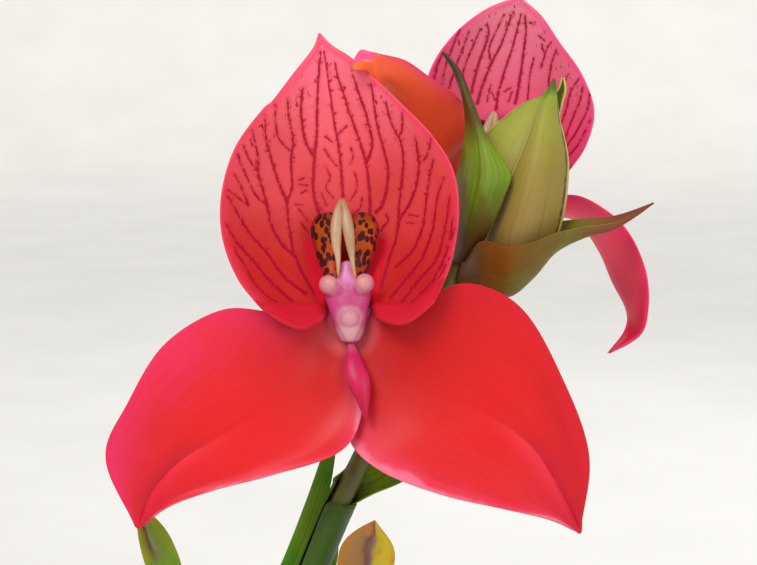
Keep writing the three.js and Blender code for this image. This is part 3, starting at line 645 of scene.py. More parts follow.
BACK_RIM = [
    (38.5, 40, 74.5), (43.5, 41, 70.5), (48, 41, 64), (53, 40, 56.5), (55.5, 38, 48), (53.5, 37, 40),
    (49.5, 37, 34), (45, 38.5, 30.5), (39, 42, 28.8), (34.5, 46, 27.8), (30.6, 47.7, 26.5),
    (27.2, 47, 28.6), (23, 44, 32.5), (18.5, 40, 38), (16, 37.5, 47.5), (18.5, 38, 58), (24, 39.5, 66),
    (31, 40, 71.5)]
BACK_VEINS = [
    [(34, 49.4), (34.5, 53.7), (36, 58.9), (37.5, 63.5), (38.6, 67.9), (39.3, 70.8)],
    [(29.4, 50.9), (30.7, 55.2), (32.7, 60.4), (34.8, 64.4), (36.2, 68.4), (37.2, 71.3)],
    [(32.4, 60.9), (32, 63.8), (34, 68.3), (35.1, 70.7)],
    [(38.6, 51), (39.6, 56.8), (40.2, 62.4), (40.6, 67.3), (40.2, 70.7)],
    [(28, 53.5), (29, 58.2), (30.5, 62.8), (31.7, 66.3), (31.3, 68.7)],
    [(25.4, 55.9), (26.4, 60), (28.2, 64.1), (29.7, 67.6)],
    [(22.4, 54.1), (23.9, 58.7), (25.5, 62.9), (27, 66.9)],
    [(20.7, 55.4), (21.7, 59.5), (23.3, 63.6), (24.9, 66.8)],
    [(18.8, 55.5), (19.8, 59.2), (21.4, 62.4)], [(41.5, 52), (41.9, 57.2), (42.7, 61.2)],
    [(46.2, 55.8), (46.6, 59.4), (47.5, 62.5)], [(44.4, 59.1), (45.5, 63), (46.4, 64.4)],
    [(48.6, 44), (50.1, 48.7), (51, 52.8), (52.6, 55.7)],
    [(49.7, 41.2), (51, 45.4), (52.9, 50.5), (53.4, 54.1)],
    [(49.6, 39.5), (52.3, 43.6), (54.3, 48.2), (54.9, 52.6)], [(50, 37.2), (52.6, 40.8), (54.9, 46)],
    [(31.8, 51.5), (32.6, 55.2)], [(32.9, 53.7), (34, 51.5)], [(35.9, 53.7), (37.5, 54.7)],
    [(37, 51.5), (37.8, 53.7)], [(50.1, 35), (53.4, 38.9), (55, 42.5)],
    [(47.4, 50), (48.8, 53.6), (50.4, 57)],
    [(43.6, 66.1), (44.9, 64.8)], [(44.4, 64.1), (45, 62)], [(41.4, 69), (42.7, 68.7)],
    [(33.5, 36), (30, 43), (27.5, 49), (25.4, 55.9)], [(35, 36), (34.2, 42), (34, 49.4)],
    [(37, 37), (40, 44), (41.5, 52)], [(38, 35), (44, 41), (46.2, 50), (46.2, 55.8)],
    [(31, 35), (25, 42), (21, 49), (20.7, 55.4)]]


def lobe_roll(x, z):
    """1 below the line where the two lower lobes fold forward, 0 above it."""
    line = 4.1 + (0.87 * max(0, x - 13.3) if x > 0 else 0.57 * max(0, -17 - x))
    return smooth(z, line + 0.25, line - 0.25) * smooth(abs(x + 0.3), 5, 6.5) * smooth(z, 11, 9)


hood_red = veined_material(
    "red hood", [(0, "B41216"), (0.25, "C8302C"), (0.45, "DA484C"), (0.7, "EE6474"), (1, "FF7C98")],
    "EE3A5E", "C8182E", "DC1430", "A80428", "C41C38")
hood_pink = veined_material(
    "pink hood", [(0, "D02A48"), (0.3, "DC4A6E"), (0.7, "E87690"), (1, "F08C9E")],
    "EC4482", "D02A48", "D02A48", "A20436", "C62E56")

keep(hood(FRONT_RIM, (9, 19), (-0.5, 13, 17), (5, 6.5), (-0.5, 28, 12), FRONT_VEINS, 180, 212, 0.3,
          lobe_roll),
     "open_flower_hood", ["front_hood"], hood_red)
keep(hood(BACK_RIM, (6, 13), (34.5, 51, 43), (4.5, 5.5), (34.5, 64, 38), BACK_VEINS, 130, 150, 0.32),
     "rear_flower_hood", ["back_hood"], hood_pink)

# Lateral sepals
LEFT_SEPAL = [
    [(-3.2, 8, 2.4), (-1.6, 7.6, -1), (0.8, 7.2, -2.6)], [(-8, 5, 2.2), (-5, 5, -6), (2, 4, -10.5)],
    [(-15, 0, 2.5), (-10, 3, -12.5), (2.5, 2, -19.5)], [(-26, -1.5, 3), (-19, 1, -18.5), (-2.2, 0.5, -26.6)],
    [(-37.5, -3, -4), (-28, 0, -24), (-16, -1, -31)], [(-45, -3, -16), (-35, 0.5, -28.5), (-27.5, -0.5, -34)],
    [(-50, 0, -27.5), (-40.5, 2, -34.5), (-37, 1, -37.5)],
    [(-44.5, 4, -42), (-44, 4, -42.5), (-43.5, 4, -42.5)]]
RIGHT_SEPAL = [
    [(4, 8, 2.4), (2.4, 8, -1), (-0.4, 8.6, -2.6)], [(9, 5.3, 3.4), (6.5, 5.5, -6), (0.5, 6, -12.5)],
    [(16, 1.5, 5.5), (13.5, 3.5, -11.5), (0.1, 3.5, -23.6)],
    [(25, -1, 8.5), (22, 1.5, -15.5), (6.7, 1, -30.2)],
    [(35.5, -3, 3.5), (31.5, 0.5, -20), (19, -0.5, -35)], [(43.5, -3, -10), (39.5, 1, -27), (32, 0, -38)],
    [(49.5, -1, -26.5), (44.5, 2, -35.5), (42, 1.5, -40.5)],
    [(48.5, 4, -43), (48.5, 4, -43.5), (48, 4, -43.5)]]
BACK_LEFT = [
    [(27.3, 45.4, 27), (27.1, 45.6, 25.8), (27.2, 45.8, 24.4)], [(24, 37, 35), (22, 38, 31), (20, 39, 28)],
    [(28, 24, 43.5), (19, 28, 35.5), (16.5, 31, 33)], [(23.5, 19, 49), (15.5, 21, 41.5), (12, 25, 39)],
    [(17.5, 13, 52.5), (13, 13.5, 47.5), (9, 18, 45.5)], [(12, 8, 55.5), (10, 7, 51), (6.5, 11, 49.5)],
    [(6.5, 4, 56.4), (6.3, 2.6, 53), (6.3, 4.9, 48.9)], [(4.5, 3, 56.8), (4.8, 1.4, 53.6), (4.8, 3.5, 51)],
    [(2.5, 1.6, 57), (2.8, -0.3, 53.6), (3.5, 0.4, 52.6)], [(1, 0, 54.5), (0.5, -1, 52.6), (1, -1, 52.2)]]
BACK_RIGHT = [
    [(32.8, 45.2, 25.8), (32.6, 45.6, 24.6), (32.7, 46, 23.4)],
    [(41, 40, 26.5), (41, 42.5, 24.5), (40.5, 45.5, 22.5)],
    [(50, 34, 28.5), (49, 40, 25.5), (49, 46, 24)], [(57, 30, 25), (55.5, 38, 22), (53.5, 45, 22)],
    [(62, 27, 19.5), (60, 34, 16.5), (57.5, 42, 15.5)], [(65.5, 26, 11), (63, 32, 9), (60, 40, 9)],
    [(66, 26, 2.5), (64, 29, 1.5), (62.5, 35, 2.5)], [(64.5, 28, -3), (63, 29.5, -3), (61.5, 31, -2)],
    [(58, 30, -7), (58, 30, -7), (57.5, 30, -7)]]


def keel(strength, seed):
    """Crease along the outer half of a sepal's midrib and soft waves near its margin."""
    def ripple(u, v):
        t = 2 * u - 1
        wall = 0.34 if t < 0 else 0.13
        crease = strength * smooth(v, 0.35, 0.75) * (1 - smooth(v, 0.95, 1.0))
        crease *= math.exp(-abs(t) / wall)
        waves = noise.noise(Vector((u * 3 + seed, v * 5, seed))) * 1.1 * smooth(abs(t), 0.3, 1.0)
        waves *= smooth(v, 0.05, 0.3) * (1 - smooth(v, 0.85, 1.0))
        return (0, waves + crease, 0)
    return ripple


# Painted reflection of the pale stigma: paler ground on the sepals round the foot of the column
PAINTED_STIGMA_REFLECTION = near([flower((0.4, 6, -1))], 3.8, 7.5)


def crease_shade(u, v):
    """Shadow on one side of the crease (below 0.5) and light on the other (above 0.5)."""
    reach = smooth(v, 0.45, 0.8)
    t = 2 * u - 1
    side = -math.exp(-abs(t) / 0.22) if t < 0 else math.exp(-abs(t) / 0.3)
    return 0.5 + 0.5 * reach * side


# Both lateral sepals take the halo tint, a painted reflection of the pale stigma, and painted shadow and
# highlight beside the crease
sepal_left = petal_material(
    "left sepal", [(0.05, "C80E08"), (0.3, "E01810"), (0.65, "E01A1C"), (1, "BE1434")],
    [(0, "F03068", 0.85), (0.22, "EA2A40", 0.5), (0.5, "F02420", 0.1), (0.85, "E22438", 0.4),
     (0.965, "EE3A5C", 0.8), (1, "F88AA6", 0.9)],
    "B80A20", 0.25, 0.42, 30, ("halo", 0.4, "E08088"), "crease")
# Right sepal: the left one's tones made darker, most of all along its upper edge, as painted shade of the
# hood and of the left sepal in front of it
sepal_right = petal_material(
    "right sepal", [(0.05, "BE0A08"), (0.3, "DC1610"), (0.65, "DC1A1A"), (1, "B41434")],
    [(0, "D81C30", 0.7), (0.2, "DC1A20", 0.4), (0.5, "EC2420", 0.1), (0.85, "E02638", 0.4),
     (0.965, "E83A5C", 0.8), (1, "F07A96", 0.9)],
    "A8081C", 0.25, 0.42, 30, ("halo", 0.4, "E08088"), "crease")
for rails, material, name, node_name, seed in (
        (LEFT_SEPAL, sepal_left, "open_flower_left_sepal", "front_sepal_left", 3.1),
        (RIGHT_SEPAL, sepal_right, "open_flower_right_sepal", "front_sepal_right", 8.7)):
    spread = railed(rails, flower, keel(1.1, seed))
    shades = {"halo": lambda u, v: PAINTED_STIGMA_REFLECTION(spread(u, v)), "crease": crease_shade}
    keep(sheet(spread, 90, 100, (0, -1, 0), 0.9, 0.45, 0.12, shades),
         name, [node_name], material)


def curl(u, v):
    """1 on the folded left edge of the strap near its tip."""
    return smooth(0.44 - u, 0, 0.14) * smooth(v, 0.66, 0.84)


orange = petal_material(
    "orange sepal", [(0, "F84E26"), (0.4, "FF5C30"), (0.8, "FF7038"), (0.94, "EE7A34"),
                             (1, "6A4428")],
    [(0, "F03C70", 0.9), (0.16, "F25048", 0.3), (0.5, "EE5020", 0.1), (0.9, "F05A40", 0.2),
     (1, "F05070", 0.5)],
    "C83A20", 0.3, 0.4, 22, ("curl", 0.95, "EE5088"))
pink_in = petal_material(
    "pink sepal", [(0, "FF1E54"), (0.3, "FF2464"), (0.55, "F42056"), (0.75, "B81434"),
                          (0.93, "A01C30"), (1, "7A6A28")],
    [(0, "EC3A6C", 0.7), (0.3, "E42450", 0.1), (0.7, "E42450", 0.1), (1, "EC3A6C", 0.7)],
    "A81438", 0.25, 0.42)
curled = railed(BACK_LEFT, flower, lambda u, v: (0, 1.2 * curl(u, v), 0), 1.5)
keep(sheet(curled, 56, 120, (-0.5, -1, 0.4), 0.8, marks={"curl": curl}),
     "rear_flower_left_sepal", ["back_sepal_left"], orange)
keep(sheet(railed(BACK_RIGHT), 40, 90, (0.3, -1, 0), 0.8), "rear_flower_right_sepal",
     ["back_sepal_right"], pink_in)

# Centres of the flowers
PETAL = [
    [(-4.5, 6.6, 7.6), (-3.7, 6.8, 7.6), (-2.9, 7.1, 7.6)],
    [(-5.9, 8.2, 12), (-4.1, 9.2, 12), (-2.2, 8.3, 12)],
    [(-7.5, 8, 16.5), (-4.8, 9.4, 16.5), (-1.9, 8, 16.5)],
    [(-8, 7.3, 20.3), (-5, 8.3, 20.9), (-1.9, 7.3, 20.8)],
    [(-7, 6.9, 22.7), (-4.9, 7.2, 23.6), (-2.5, 6.9, 23.3)]]
LIP = [
    [(0, 4.3, -4.15), (0.5, 4, -4.15), (1.2, 4.3, -4.15)],
    [(-0.6, 2.2, -7.7), (1.1, 1.6, -7.7), (2.9, 2.2, -7.7)],
    [(-0.5, 1, -11), (1.9, 0.2, -11), (4.3, 1, -11)],
    [(1.4, 0.5, -14.5), (2.9, -0.3, -14.5), (4.5, 0.5, -14.5)],
    [(3.6, -0.3, -19.8), (3.7, -0.4, -19.8), (3.8, -0.3, -19.8)]]

spotted, place = start("spotted petal")
u, v = split()
cells = node("Mapping", {"Vector": place, "Scale": (1, 1, 0.62)}).outputs[0]
drift = node("TexNoise", {"Vector": place, "Scale": 500.0}).outputs["Color"]
drift = node("Mapping", {"Vector": drift, "Scale": (0.0007,) * 3}).outputs[0]
cells = node("VectorMath", {0: cells, 1: drift}, operation="ADD").outputs[0]
dots = node("TexVoronoi", {"Vector": cells, "Scale": 1000.0, "Randomness": 0.95}).outputs["Distance"]
base = tones(v, (0, "B02A10"), (0.3, "C04A08"), (0.75, "B85808"), (1, "9A1C10"))
side = maths("ABSOLUTE", minus(u, 0.5))
base = blend(ramped(side, 0.28, 0.46), base, "981410")
base = blend(ramped(dots, 0.57, 0.47), base, "4A0412")
settle(base, 0.4, dots, 0.2, 0.1, **SOFT)

lip_pink, place = start("magenta lip")
u, v = split()
base = tones(v, (0, "C05A78"), (0.15, "B91452"), (0.6, "C01647"), (1, "A80C2A"))
side = maths("ABSOLUTE", minus(u, 0.5))
base = blend(ramped(side, 0.1, 0.5, 0.0, 0.4), base, "CB2A60")
settle(base, 0.38, grain(place, 1800), 0.2, 0.08, **SOFT)

column_pink, place = start("pink column")
soft = grain(place, 300, 3)
base = tones(soft, (0.3, "AA2E66"), (0.7, "C04C82"))
base = blend(times(attribute("crown"), 0.7), base, "DC94C4")
base = blend(attribute("stigma"), base, "CC969E")
base = blend(attribute("globe"), base, "D4A6A6")
base = blend(times(attribute("yolk"), 0.5), base, "DCA060")
settle(base, 0.35, grain(place, 2200), 0.15, 0.06, Subsurface_Weight=0.25,
       Subsurface_Scale=0.002, Specular_IOR_Level=0.3)

cream, place = start("cream anther")
soft = grain(place, 350, 3, (1, 1, 0.3))
base = tones(soft, (0.3, "A47C53"), (0.7, "BFA080"))
base = blend(attribute("tail"), base, "D88A20")
settle(base, 0.4, grain(place, 2500, 2, (1, 1, 0.3)), 0.25, 0.06,
       Subsurface_Weight=0.15, Subsurface_Scale=0.0015)


def centre(side, nodes, spot):
    """Petals, lip, column and anther of one flower."""
    def petal(mirror):
        rails = PETAL
        if mirror:
            rails = [[(-1.6 - x, y + 0.5, z) for x, y, z in row] for row in PETAL]
        return sheet(railed(rails, spot), 18, 30, (0, -1, 0), 0.6, 0.4)
    keep(petal(False), side + "_left_petal", [nodes + "_petal_left"], spotted)
    keep(petal(True), side + "_right_petal", [nodes + "_petal_right"], spotted)
    keep(sheet(railed(LIP, spot), 18, 40, (0, -1, 0), 0.6, 0.5), side + "_lip",
         [nodes + "_lip"], lip_pink)
    parts = [loft([(0.4, 4.2, -3.8), (0.35, 4, -1), (0.1, 4.2, 2.5), (-0.1, 4.6, 6.5), (-0.25, 5, 9.2)],
                  [(1.8, 1.2), (3.2, 2.1), (3.9, 2.5), (4.8, 2.3), (2.6, 1.8)], 28, 36, to_world=spot),
             loft([(0.2, 6.6, 0.6), (0.3, 6.9, 3.8)], [(3.6, 0.9), (4.9, 1)], 24, 12, to_world=spot),
             loft([(-0.2, 4.6, 6), (-0.3, 4.1, 9.5), (-0.3, 4.5, 13.4)],
                  [(3, 1.7), (2.2, 1.4), (1.1, 0.8)], 20, 20, to_world=spot)]
    size = (spot((1, 0, 0)) - spot((0, 0, 0))).length
    globes = [spot((-4.1, 2.9, 8.3)), spot((3.4, 2.9, 8.6))]
    parts += [ball(g, 2.05 * size) for g in globes]
    parts += [loft([(-1, 4.4, 6.3), (-3, 3.7, 7.3), (-4, 3.3, 8)], [(2, 1.9), (1.9, 1.7), (1.6, 1.5)], 16, 12,
                   (0, 0, 1), spot),
              loft([(0.6, 4.4, 6.3), (2.3, 3.7, 7.4), (3.3, 3.3, 8.2)], [(2, 1.9), (1.9, 1.7), (1.6, 1.5)],
                   16, 12,
                   (0, 0, 1), spot)]
    pads = [spot(p) for p in ((0.3, 2.4, 1.2), (0.35, 2.6, -1.2))]
    parts += [ball(pads[0], 2.2 * size),
              loft([(0.3, 2.8, 2), (0.35, 2.5, -0.6), (0.4, 2.9, -3.7)], [(2.9, 1.1), (2.4, 1.3), (0.7, 0.6)],
                   20, 16, to_world=spot)]
    column = grown_together(parts, 0.2 * size, 7)
    mark(column, "crown", near([spot((-0.3, 3.5, 12.6)), spot((-0.3, 3.2, 10))], 0.6 * size, 3.4 * size))
    mark(column, "stigma", near(pads, 1.5 * size, 3.6 * size))
    mark(column, "globe", near(globes, 1.6 * size, 2.5 * size))
    mark(column, "yolk", near([spot((-3.7, 1.2, 9)), spot((2.7, 1.2, 9))], 0.3, 1.1 * size))
    keep(column, side + "_column", [nodes + "_column"], column_pink)
    radii = [(0.2, 0.2), (0.55, 0.5), (0.95, 0.8), (1.2, 1), (1.1, 0.95), (0.45, 0.4)]
    lobes = [loft([(-2.1, 2.1, 10), (-2.1, 2.2, 13.5), (-2.45, 2.6, 16.3), (-2.55, 3.1, 19.7),
                   (-2.2, 4, 22.8),
                   (-1.6, 5, 26.3)], radii, 20, 48, to_world=spot),
             loft([(1.5, 2.1, 9.6), (0.85, 2.2, 13.5), (0.5, 2.6, 16.3), (0.05, 3.1, 19.7), (-0.5, 4, 22.8),
                   (-1.25, 5, 26.3)], radii, 20, 48, to_world=spot)]
    anther = joined(lobes)
    mark(anther, "tail", near([spot((-2.1, 2.1, 10)), spot((1.5, 2.1, 9.6))], 0.6 * size, 2.8 * size))
    keep(anther, side + "_anther", [nodes + "_anther"], cream)


centre("open_flower", "front", flower)
centre("rear_flower", "back", second_flower)

# Bracts, bud and ovaries
bract_green = leaf_material(
    "bract", [(0, "5A3A0C"), (0.14, "5A4A0C"), (0.36, "6A8A0C"), (0.55, "7C9418"), (0.7, "5E4A18"),
              (0.82, "4A1A18"), (1, "2A1012")],
    "3E5A06", 22, ("5A3008", 70, 0.52, 0.55))
bract_brown = leaf_material(
    "boat bract", [(0, "6C5410"), (0.2, "865408"), (0.42, "6C640C"), (0.65, "6A7A1A"), (0.82, "7E4A22"),
                   (1, "7A2A24")],
    "5A5208", 22, ("7A3A06", 90, 0.5, 0.5))
UPPER_BRACT = [
    [(22.6, 22, 13.6), (24.4, 20, 13.4), (26.5, 21, 14)], [(22.4, 20.5, 17.6), (25, 15.5, 17), (29, 15, 18)],
    [(22.6, 20, 21.5), (25.6, 13, 21), (31, 12.5, 22)],
    [(22.8, 19, 27.5), (26.8, 11, 27), (33.2, 11.2, 27.5)],
    [(23.3, 18.7, 32), (27.7, 10.8, 31.5), (34.4, 11.4, 31.8)],
    [(24.2, 18.3, 36.2), (27.8, 11.4, 36.4), (31.6, 12.2, 36.2)],
    [(25, 18, 40.8), (27.3, 12.8, 41), (29.3, 13.8, 40.4)],
    [(24.9, 18, 47), (25.8, 15.6, 47.4), (27, 17, 47)],
    [(23.2, 18, 52.7), (24, 16.9, 53), (24.9, 18, 52.7)],
    [(22, 18, 55.6), (22.6, 17.4, 55.8), (23.1, 18, 55.6)],
    [(19.9, 18, 58.6), (20.2, 18, 58.8), (20.3, 18, 58.6)]]
BOAT_BRACT = [
    [(24.7, 21, 13), (23.8, 21.9, 8.3), (26.2, 24, 8.4)],
    [(28.2, 12.4, 17.4), (28.5, 18, 7), (29.5, 28.5, 13)],
    [(33, 9, 16.3), (34.5, 18, 5.5), (35, 31, 17)], [(38.5, 9, 17), (39.8, 18, 9.7), (40.5, 31, 19.4)],
    [(43.5, 11, 19), (44.6, 18, 15.3), (46, 28, 22)],
    [(49.5, 14.5, 20.4), (50.8, 18, 18.6), (51, 23.5, 22.6)],
    [(57.5, 17, 21.8), (58, 18, 20.9), (58, 20, 23.3)], [(65.5, 18, 26), (66, 18, 26), (66, 18.5, 26)]]
SMALL_BRACT = [
    [(9.2, 26.8, -14), (8.2, 26.1, -14.2), (7.7, 25.1, -14.5)], [(10.5, 26, -6), (6, 27, -6), (2, 24, -5)],
    [(8.5, 23.5, 0), (5, 26, 0), (1, 23.5, 0.5)], [(3, 22.8, 6.5), (2.8, 22.9, 6.6), (2.6, 22.8, 6.5)]]
keep(sheet(railed(UPPER_BRACT, power=1.6), 44, 110, (0, -1, 0), 0.7), "upright_bract",
     ["back_bract"],
     bract_green)
keep(sheet(railed(BOAT_BRACT, power=1.7), 48, 100, (0, -0.3, -1), 0.7), "boat_bract", ["bud_bract"],
     bract_brown)
keep(sheet(railed(SMALL_BRACT), 24, 40, (0, 1, 0), 0.7), "open_flower_bract", ["front_bract"],
     bract_green)

BUD_FRONT = [
    [(35.6, 19.8, 14.8), (37.2, 18, 14.2), (39, 19.8, 15)],
    [(31, 18.6, 16.2), (36.5, 14.2, 15.8), (44, 19.4, 17)],
    [(29.9, 18.2, 18.5), (37, 12.4, 19), (45.6, 19.2, 20)],
    [(31.6, 16.5, 22.8), (38.2, 11.2, 24), (46.8, 18.8, 25)],
    [(33.4, 15, 27.2), (39.4, 10.8, 29), (47.4, 18.6, 30.5)],
    [(34.9, 14, 31.9), (40.6, 11, 33.5), (47.5, 18.4, 34.8)],
    [(36.7, 13.6, 36), (41.4, 11.8, 37.5), (46.9, 18, 38.6)],
    [(38.3, 13.8, 39.8), (41.8, 12.7, 41), (46, 17.6, 42)],
    [(39.8, 14.6, 43.6), (42.2, 13.9, 44.4), (45.3, 17, 44.8)],
    [(41.1, 15.4, 46.8), (42.9, 14.8, 47.2), (44.9, 16.6, 47.5)],
    [(42.6, 16.3, 49.6), (43.5, 15.9, 49.9), (44.7, 16.5, 50)],
    [(44, 16.8, 52.6), (44.2, 16.7, 52.8), (44.4, 16.8, 52.6)]]
BUD_LEFT = [
    [(35.2, 22, 15), (35.2, 20.6, 14.8), (36.6, 19.9, 14.9)],
    [(31, 22.5, 17), (31.4, 20, 16.8), (35.5, 17.2, 17)],
    [(28.8, 22, 21), (30.2, 18.2, 21), (36.5, 14.8, 22)], [(27.6, 21.5, 26), (30, 17.2, 27), (38, 13.4, 28)],
    [(27.2, 21.5, 31), (30.8, 16.8, 32.5), (39.2, 13.4, 33.5)],
    [(27.6, 21.5, 36), (31.8, 16.8, 37), (40.4, 14, 38)],
    [(29.8, 21, 41.3), (34, 17.2, 41.2), (41.4, 15, 42)],
    [(33.6, 20.5, 44.6), (36.8, 17.6, 44.6), (42.2, 16, 45.2)],
    [(37.2, 20, 47.3), (39.6, 18.2, 47.2), (42.8, 17, 47.6)],
    [(41.2, 19.4, 49.1), (42.4, 18.5, 49.2), (43.6, 17.6, 49.4)],
    [(43.8, 18.8, 51.2), (44, 18.4, 51.2), (44.2, 18.2, 51.2)]]
BUD_REAR = [
    [(38.5, 20.4, 15), (38, 22.5, 15), (35.8, 23, 15.2)],
    [(43.3, 21, 17.6), (40, 26.5, 17), (32.4, 24, 17.5)],
    [(44.9, 21, 21), (41, 29, 22), (30.6, 24, 22)], [(46, 21, 27), (41.5, 30, 28), (29.6, 23.8, 28)],
    [(46.4, 20.8, 33), (42, 29.5, 33.5), (30.2, 23.6, 33)],
    [(46, 20.4, 38.5), (42, 27.6, 39), (32.2, 23.2, 39)],
    [(45.6, 19.8, 43.5), (42.8, 24.8, 43.5), (36.5, 22.6, 43.5)],
    [(46.2, 19.2, 47.4), (44.4, 22, 47.2), (41, 21, 47.2)],
    [(46.9, 18.4, 50.4), (46, 19.6, 50.4), (44.9, 19.2, 50.2)],
    [(46.5, 18.2, 53.2), (46.4, 18.5, 53.4), (46.2, 18.4, 53.3)]]

bud_green, place = start("bud sepal")
v = split()[1]
soft = grain(place, 90, 3)
drift = times(minus(soft, 0.5), 0.3)
base = tones(plus(v, drift), (0, "95764A"), (0.2, "967D3E"), (0.45, "918132"),
             (0.7, "959533"), (0.86, "8A9631"), (0.93, "4E6A10"), (1, "3A5A0C"))
wave = fine_lines(26, 0.04, 0.5, 0.72)
base = blend(times(wave, 0.36), base, "6A5A1C")
side = attribute("inset")
wander = plus(side, times(minus(grain(place, 160, 2), 0.5), 0.03))
band = times(ramped(wander, 0.03, 0.045), ramped(wander, 0.085, 0.06))
broken = ramped(grain(place, 350, 2), 0.38, 0.55, 0.35, 1.0)
band = times(band, broken)
base = blend(times(band, attribute("edge")), base, "5A300C")
base = blend(ramped(side, 0.045, 0.02, 0.0, 0.85), base, "C4B868")
face = attribute("face")
base = blend(times(face, 0.6), base, "9AA43C")
height = minus(times(wave, -0.6), times(band, 2.0))
settle(base, 0.5, height, 0.5, 0.15, Subsurface_Weight=0.08, Subsurface_Scale=0.0015,
       Specular_IOR_Level=0.3)
for rails, facing, greener, name, node_name in (
        (BUD_FRONT, (0, -1, 0), 0, "bud_front_sepal", "bud_sepal_front"),
        (BUD_LEFT, (-1, -0.4, 0), 1, "bud_left_sepal", "bud_sepal_left"),
        (BUD_REAR, (0.3, 1, 0), 0, "bud_right_sepal", "bud_sepal_right")):
    edged = {"face": lambda u, v: greener * smooth(v, 0.2, 0.7),
             "inset": lambda u, v: min(u * (1 - 0.55 * greener), 1 - u),
             "edge": lambda u, v: 1 if greener else smooth(u, 0.3, 0.6)}
    keep(sheet(railed(rails, power=1.7), 60, 110, facing, 0.6, 0.6, 0.06, edged), name, [node_name],
         bud_green)

ovary_green, place = start("ribbed ovary")
soft = grain(place, 200, 3)
ribs = fine_lines(20, 0.05)
base = tones(maths("MULTIPLY_ADD", ribs, 0.5), (0, "5A4A1A"), (0.4, "6E6A24"), (0.8, "8A8A3A"))
base = blend(ramped(soft, 0.45, 0.7, 0.0, 0.5), base, "7A3A24")
settle(base, 0.45, grain(place, 1600), 0.3, 0.08, Subsurface_Weight=0.05)

RIBS, TWIST, RIB_HEIGHT = 6, 1.2, 0.06


def ribbed(u, v):
    return RIB_HEIGHT * math.cos(2 * math.pi * (RIBS * u + TWIST * v)) * math.sin(math.pi * v)


for path, radii, name, node_name in (
        ([(8.4, 21.5, -14), (5.5, 18, -8), (2.2, 13, -2.5), (0.6, 9.8, 0), (0.4, 7.9, 0.5)],
         [(1.6, 1.6), (2.3, 2.3), (2.6, 2.6), (2.5, 2.5), (2.4, 2.4)], "open_flower_ovary", "front_ovary"),
        ([(23.6, 27.35, 12.4), (23.8, 33, 14.4), (25, 42, 16), (28, 47.6, 19.2), (30, 45.6, 25.2)],
         [(1.9, 1.9), (2, 2), (2.2, 2.2), (2.2, 2.2), (2, 2)], "rear_flower_ovary", "back_ovary"),
        ([(26.7, 24.3, 12.4), (30, 23.5, 12.4), (34, 21.5, 12.8), (37, 20, 15.4)],
         [(1.6, 1.6), (2, 2), (2.2, 2.2), (2.2, 2.2)], "bud_ovary_stalk", "bud_ovary")):
    keep(loft(path, radii, 48, 40, ripple=ribbed), name, [node_name], ovary_green)

# Stem and leaves
STEM = [(0, 0, 60.3), (0, 0, 84), (3.5, -1, 115), (12, -4, 150), (24, -7.5, 181.5), (30.5, -5.5, 196.5),
        (36, -4, 207.5), (43, -2, 221), (49.5, -0.5, 234), (52.5, 0.5, 240.5), (56, 2, 248)]
stem_brown, place = start("olive stem")
v = split()[1]
soft = grain(place, 140, 4, (1, 1, 0.25))
base = tones(v, (0, "B8B08A"), (0.14, "8A9A48"), (0.3, "6A8428"), (0.5, "5A6A22"), (0.66, "5A5226"),
             (0.85, "5E5224"), (1, "6A7A28"))
streaks = ramped(grain(place, 420, 3, (1, 1, 0.08)), 0.4, 0.7, 0.0, 0.5)
base = blend(streaks, base, "4A3A1C")
base = blend(ramped(soft, 0.5, 0.8, 0.0, 0.4), base, "7A8A3A")
settle(base, 0.42, grain(place, 900, 3, (1, 1, 0.1)), 0.4, 0.1,
       Subsurface_Weight=0.05, Subsurface_Scale=0.0015)
widths = [(3 - 0.7 * min(1, 3 * i / 8),) * 2 for i in range(9)]
keep(loft(STEM, widths, 28, 200, (0, 1, 0), world,
          lambda u, v: 0.02 * math.cos(2 * math.pi * 8 * u) + 0.03 * noise.noise(Vector((3 * u, 40 * v, 1))),
          rounding=0.008), "flowering_stem", ["flower_stem"], stem_brown)


def blade(spine, width, facing, base_width=2.4, fullness=1.4, fold=0.25, wave=0.6, seed=0):
    """Strap-shaped leaf along a spine. Its two halves stand up from the midrib by fold."""
    line = [Vector(p) for p in spine]
    face = Vector(facing).normalized()

    def place(u, v):
        t = 2 * u - 1
        centre_point = along(line, v)
        tangent = (along(line, min(1, v + 0.01)) - along(line, max(0, v - 0.01))).normalized()
        side = tangent.cross(face).normalized()
        up = side.cross(tangent).normalized()
        swell = math.sin(math.pi * v ** fullness)
        half = (base_width * (1 - v) + (width - base_width / 2) * swell + 0.4 * (1 - v ** 6)) / 2
        trough = fold * half * (math.sqrt(t * t + 0.03) - 0.17)
        ripple = wave * noise.noise(Vector((seed + t, 7 * v, seed))) * smooth(abs(t), 0.2, 1) * swell
        return centre_point + side * (half * t) + up * (trough + ripple)
    return place


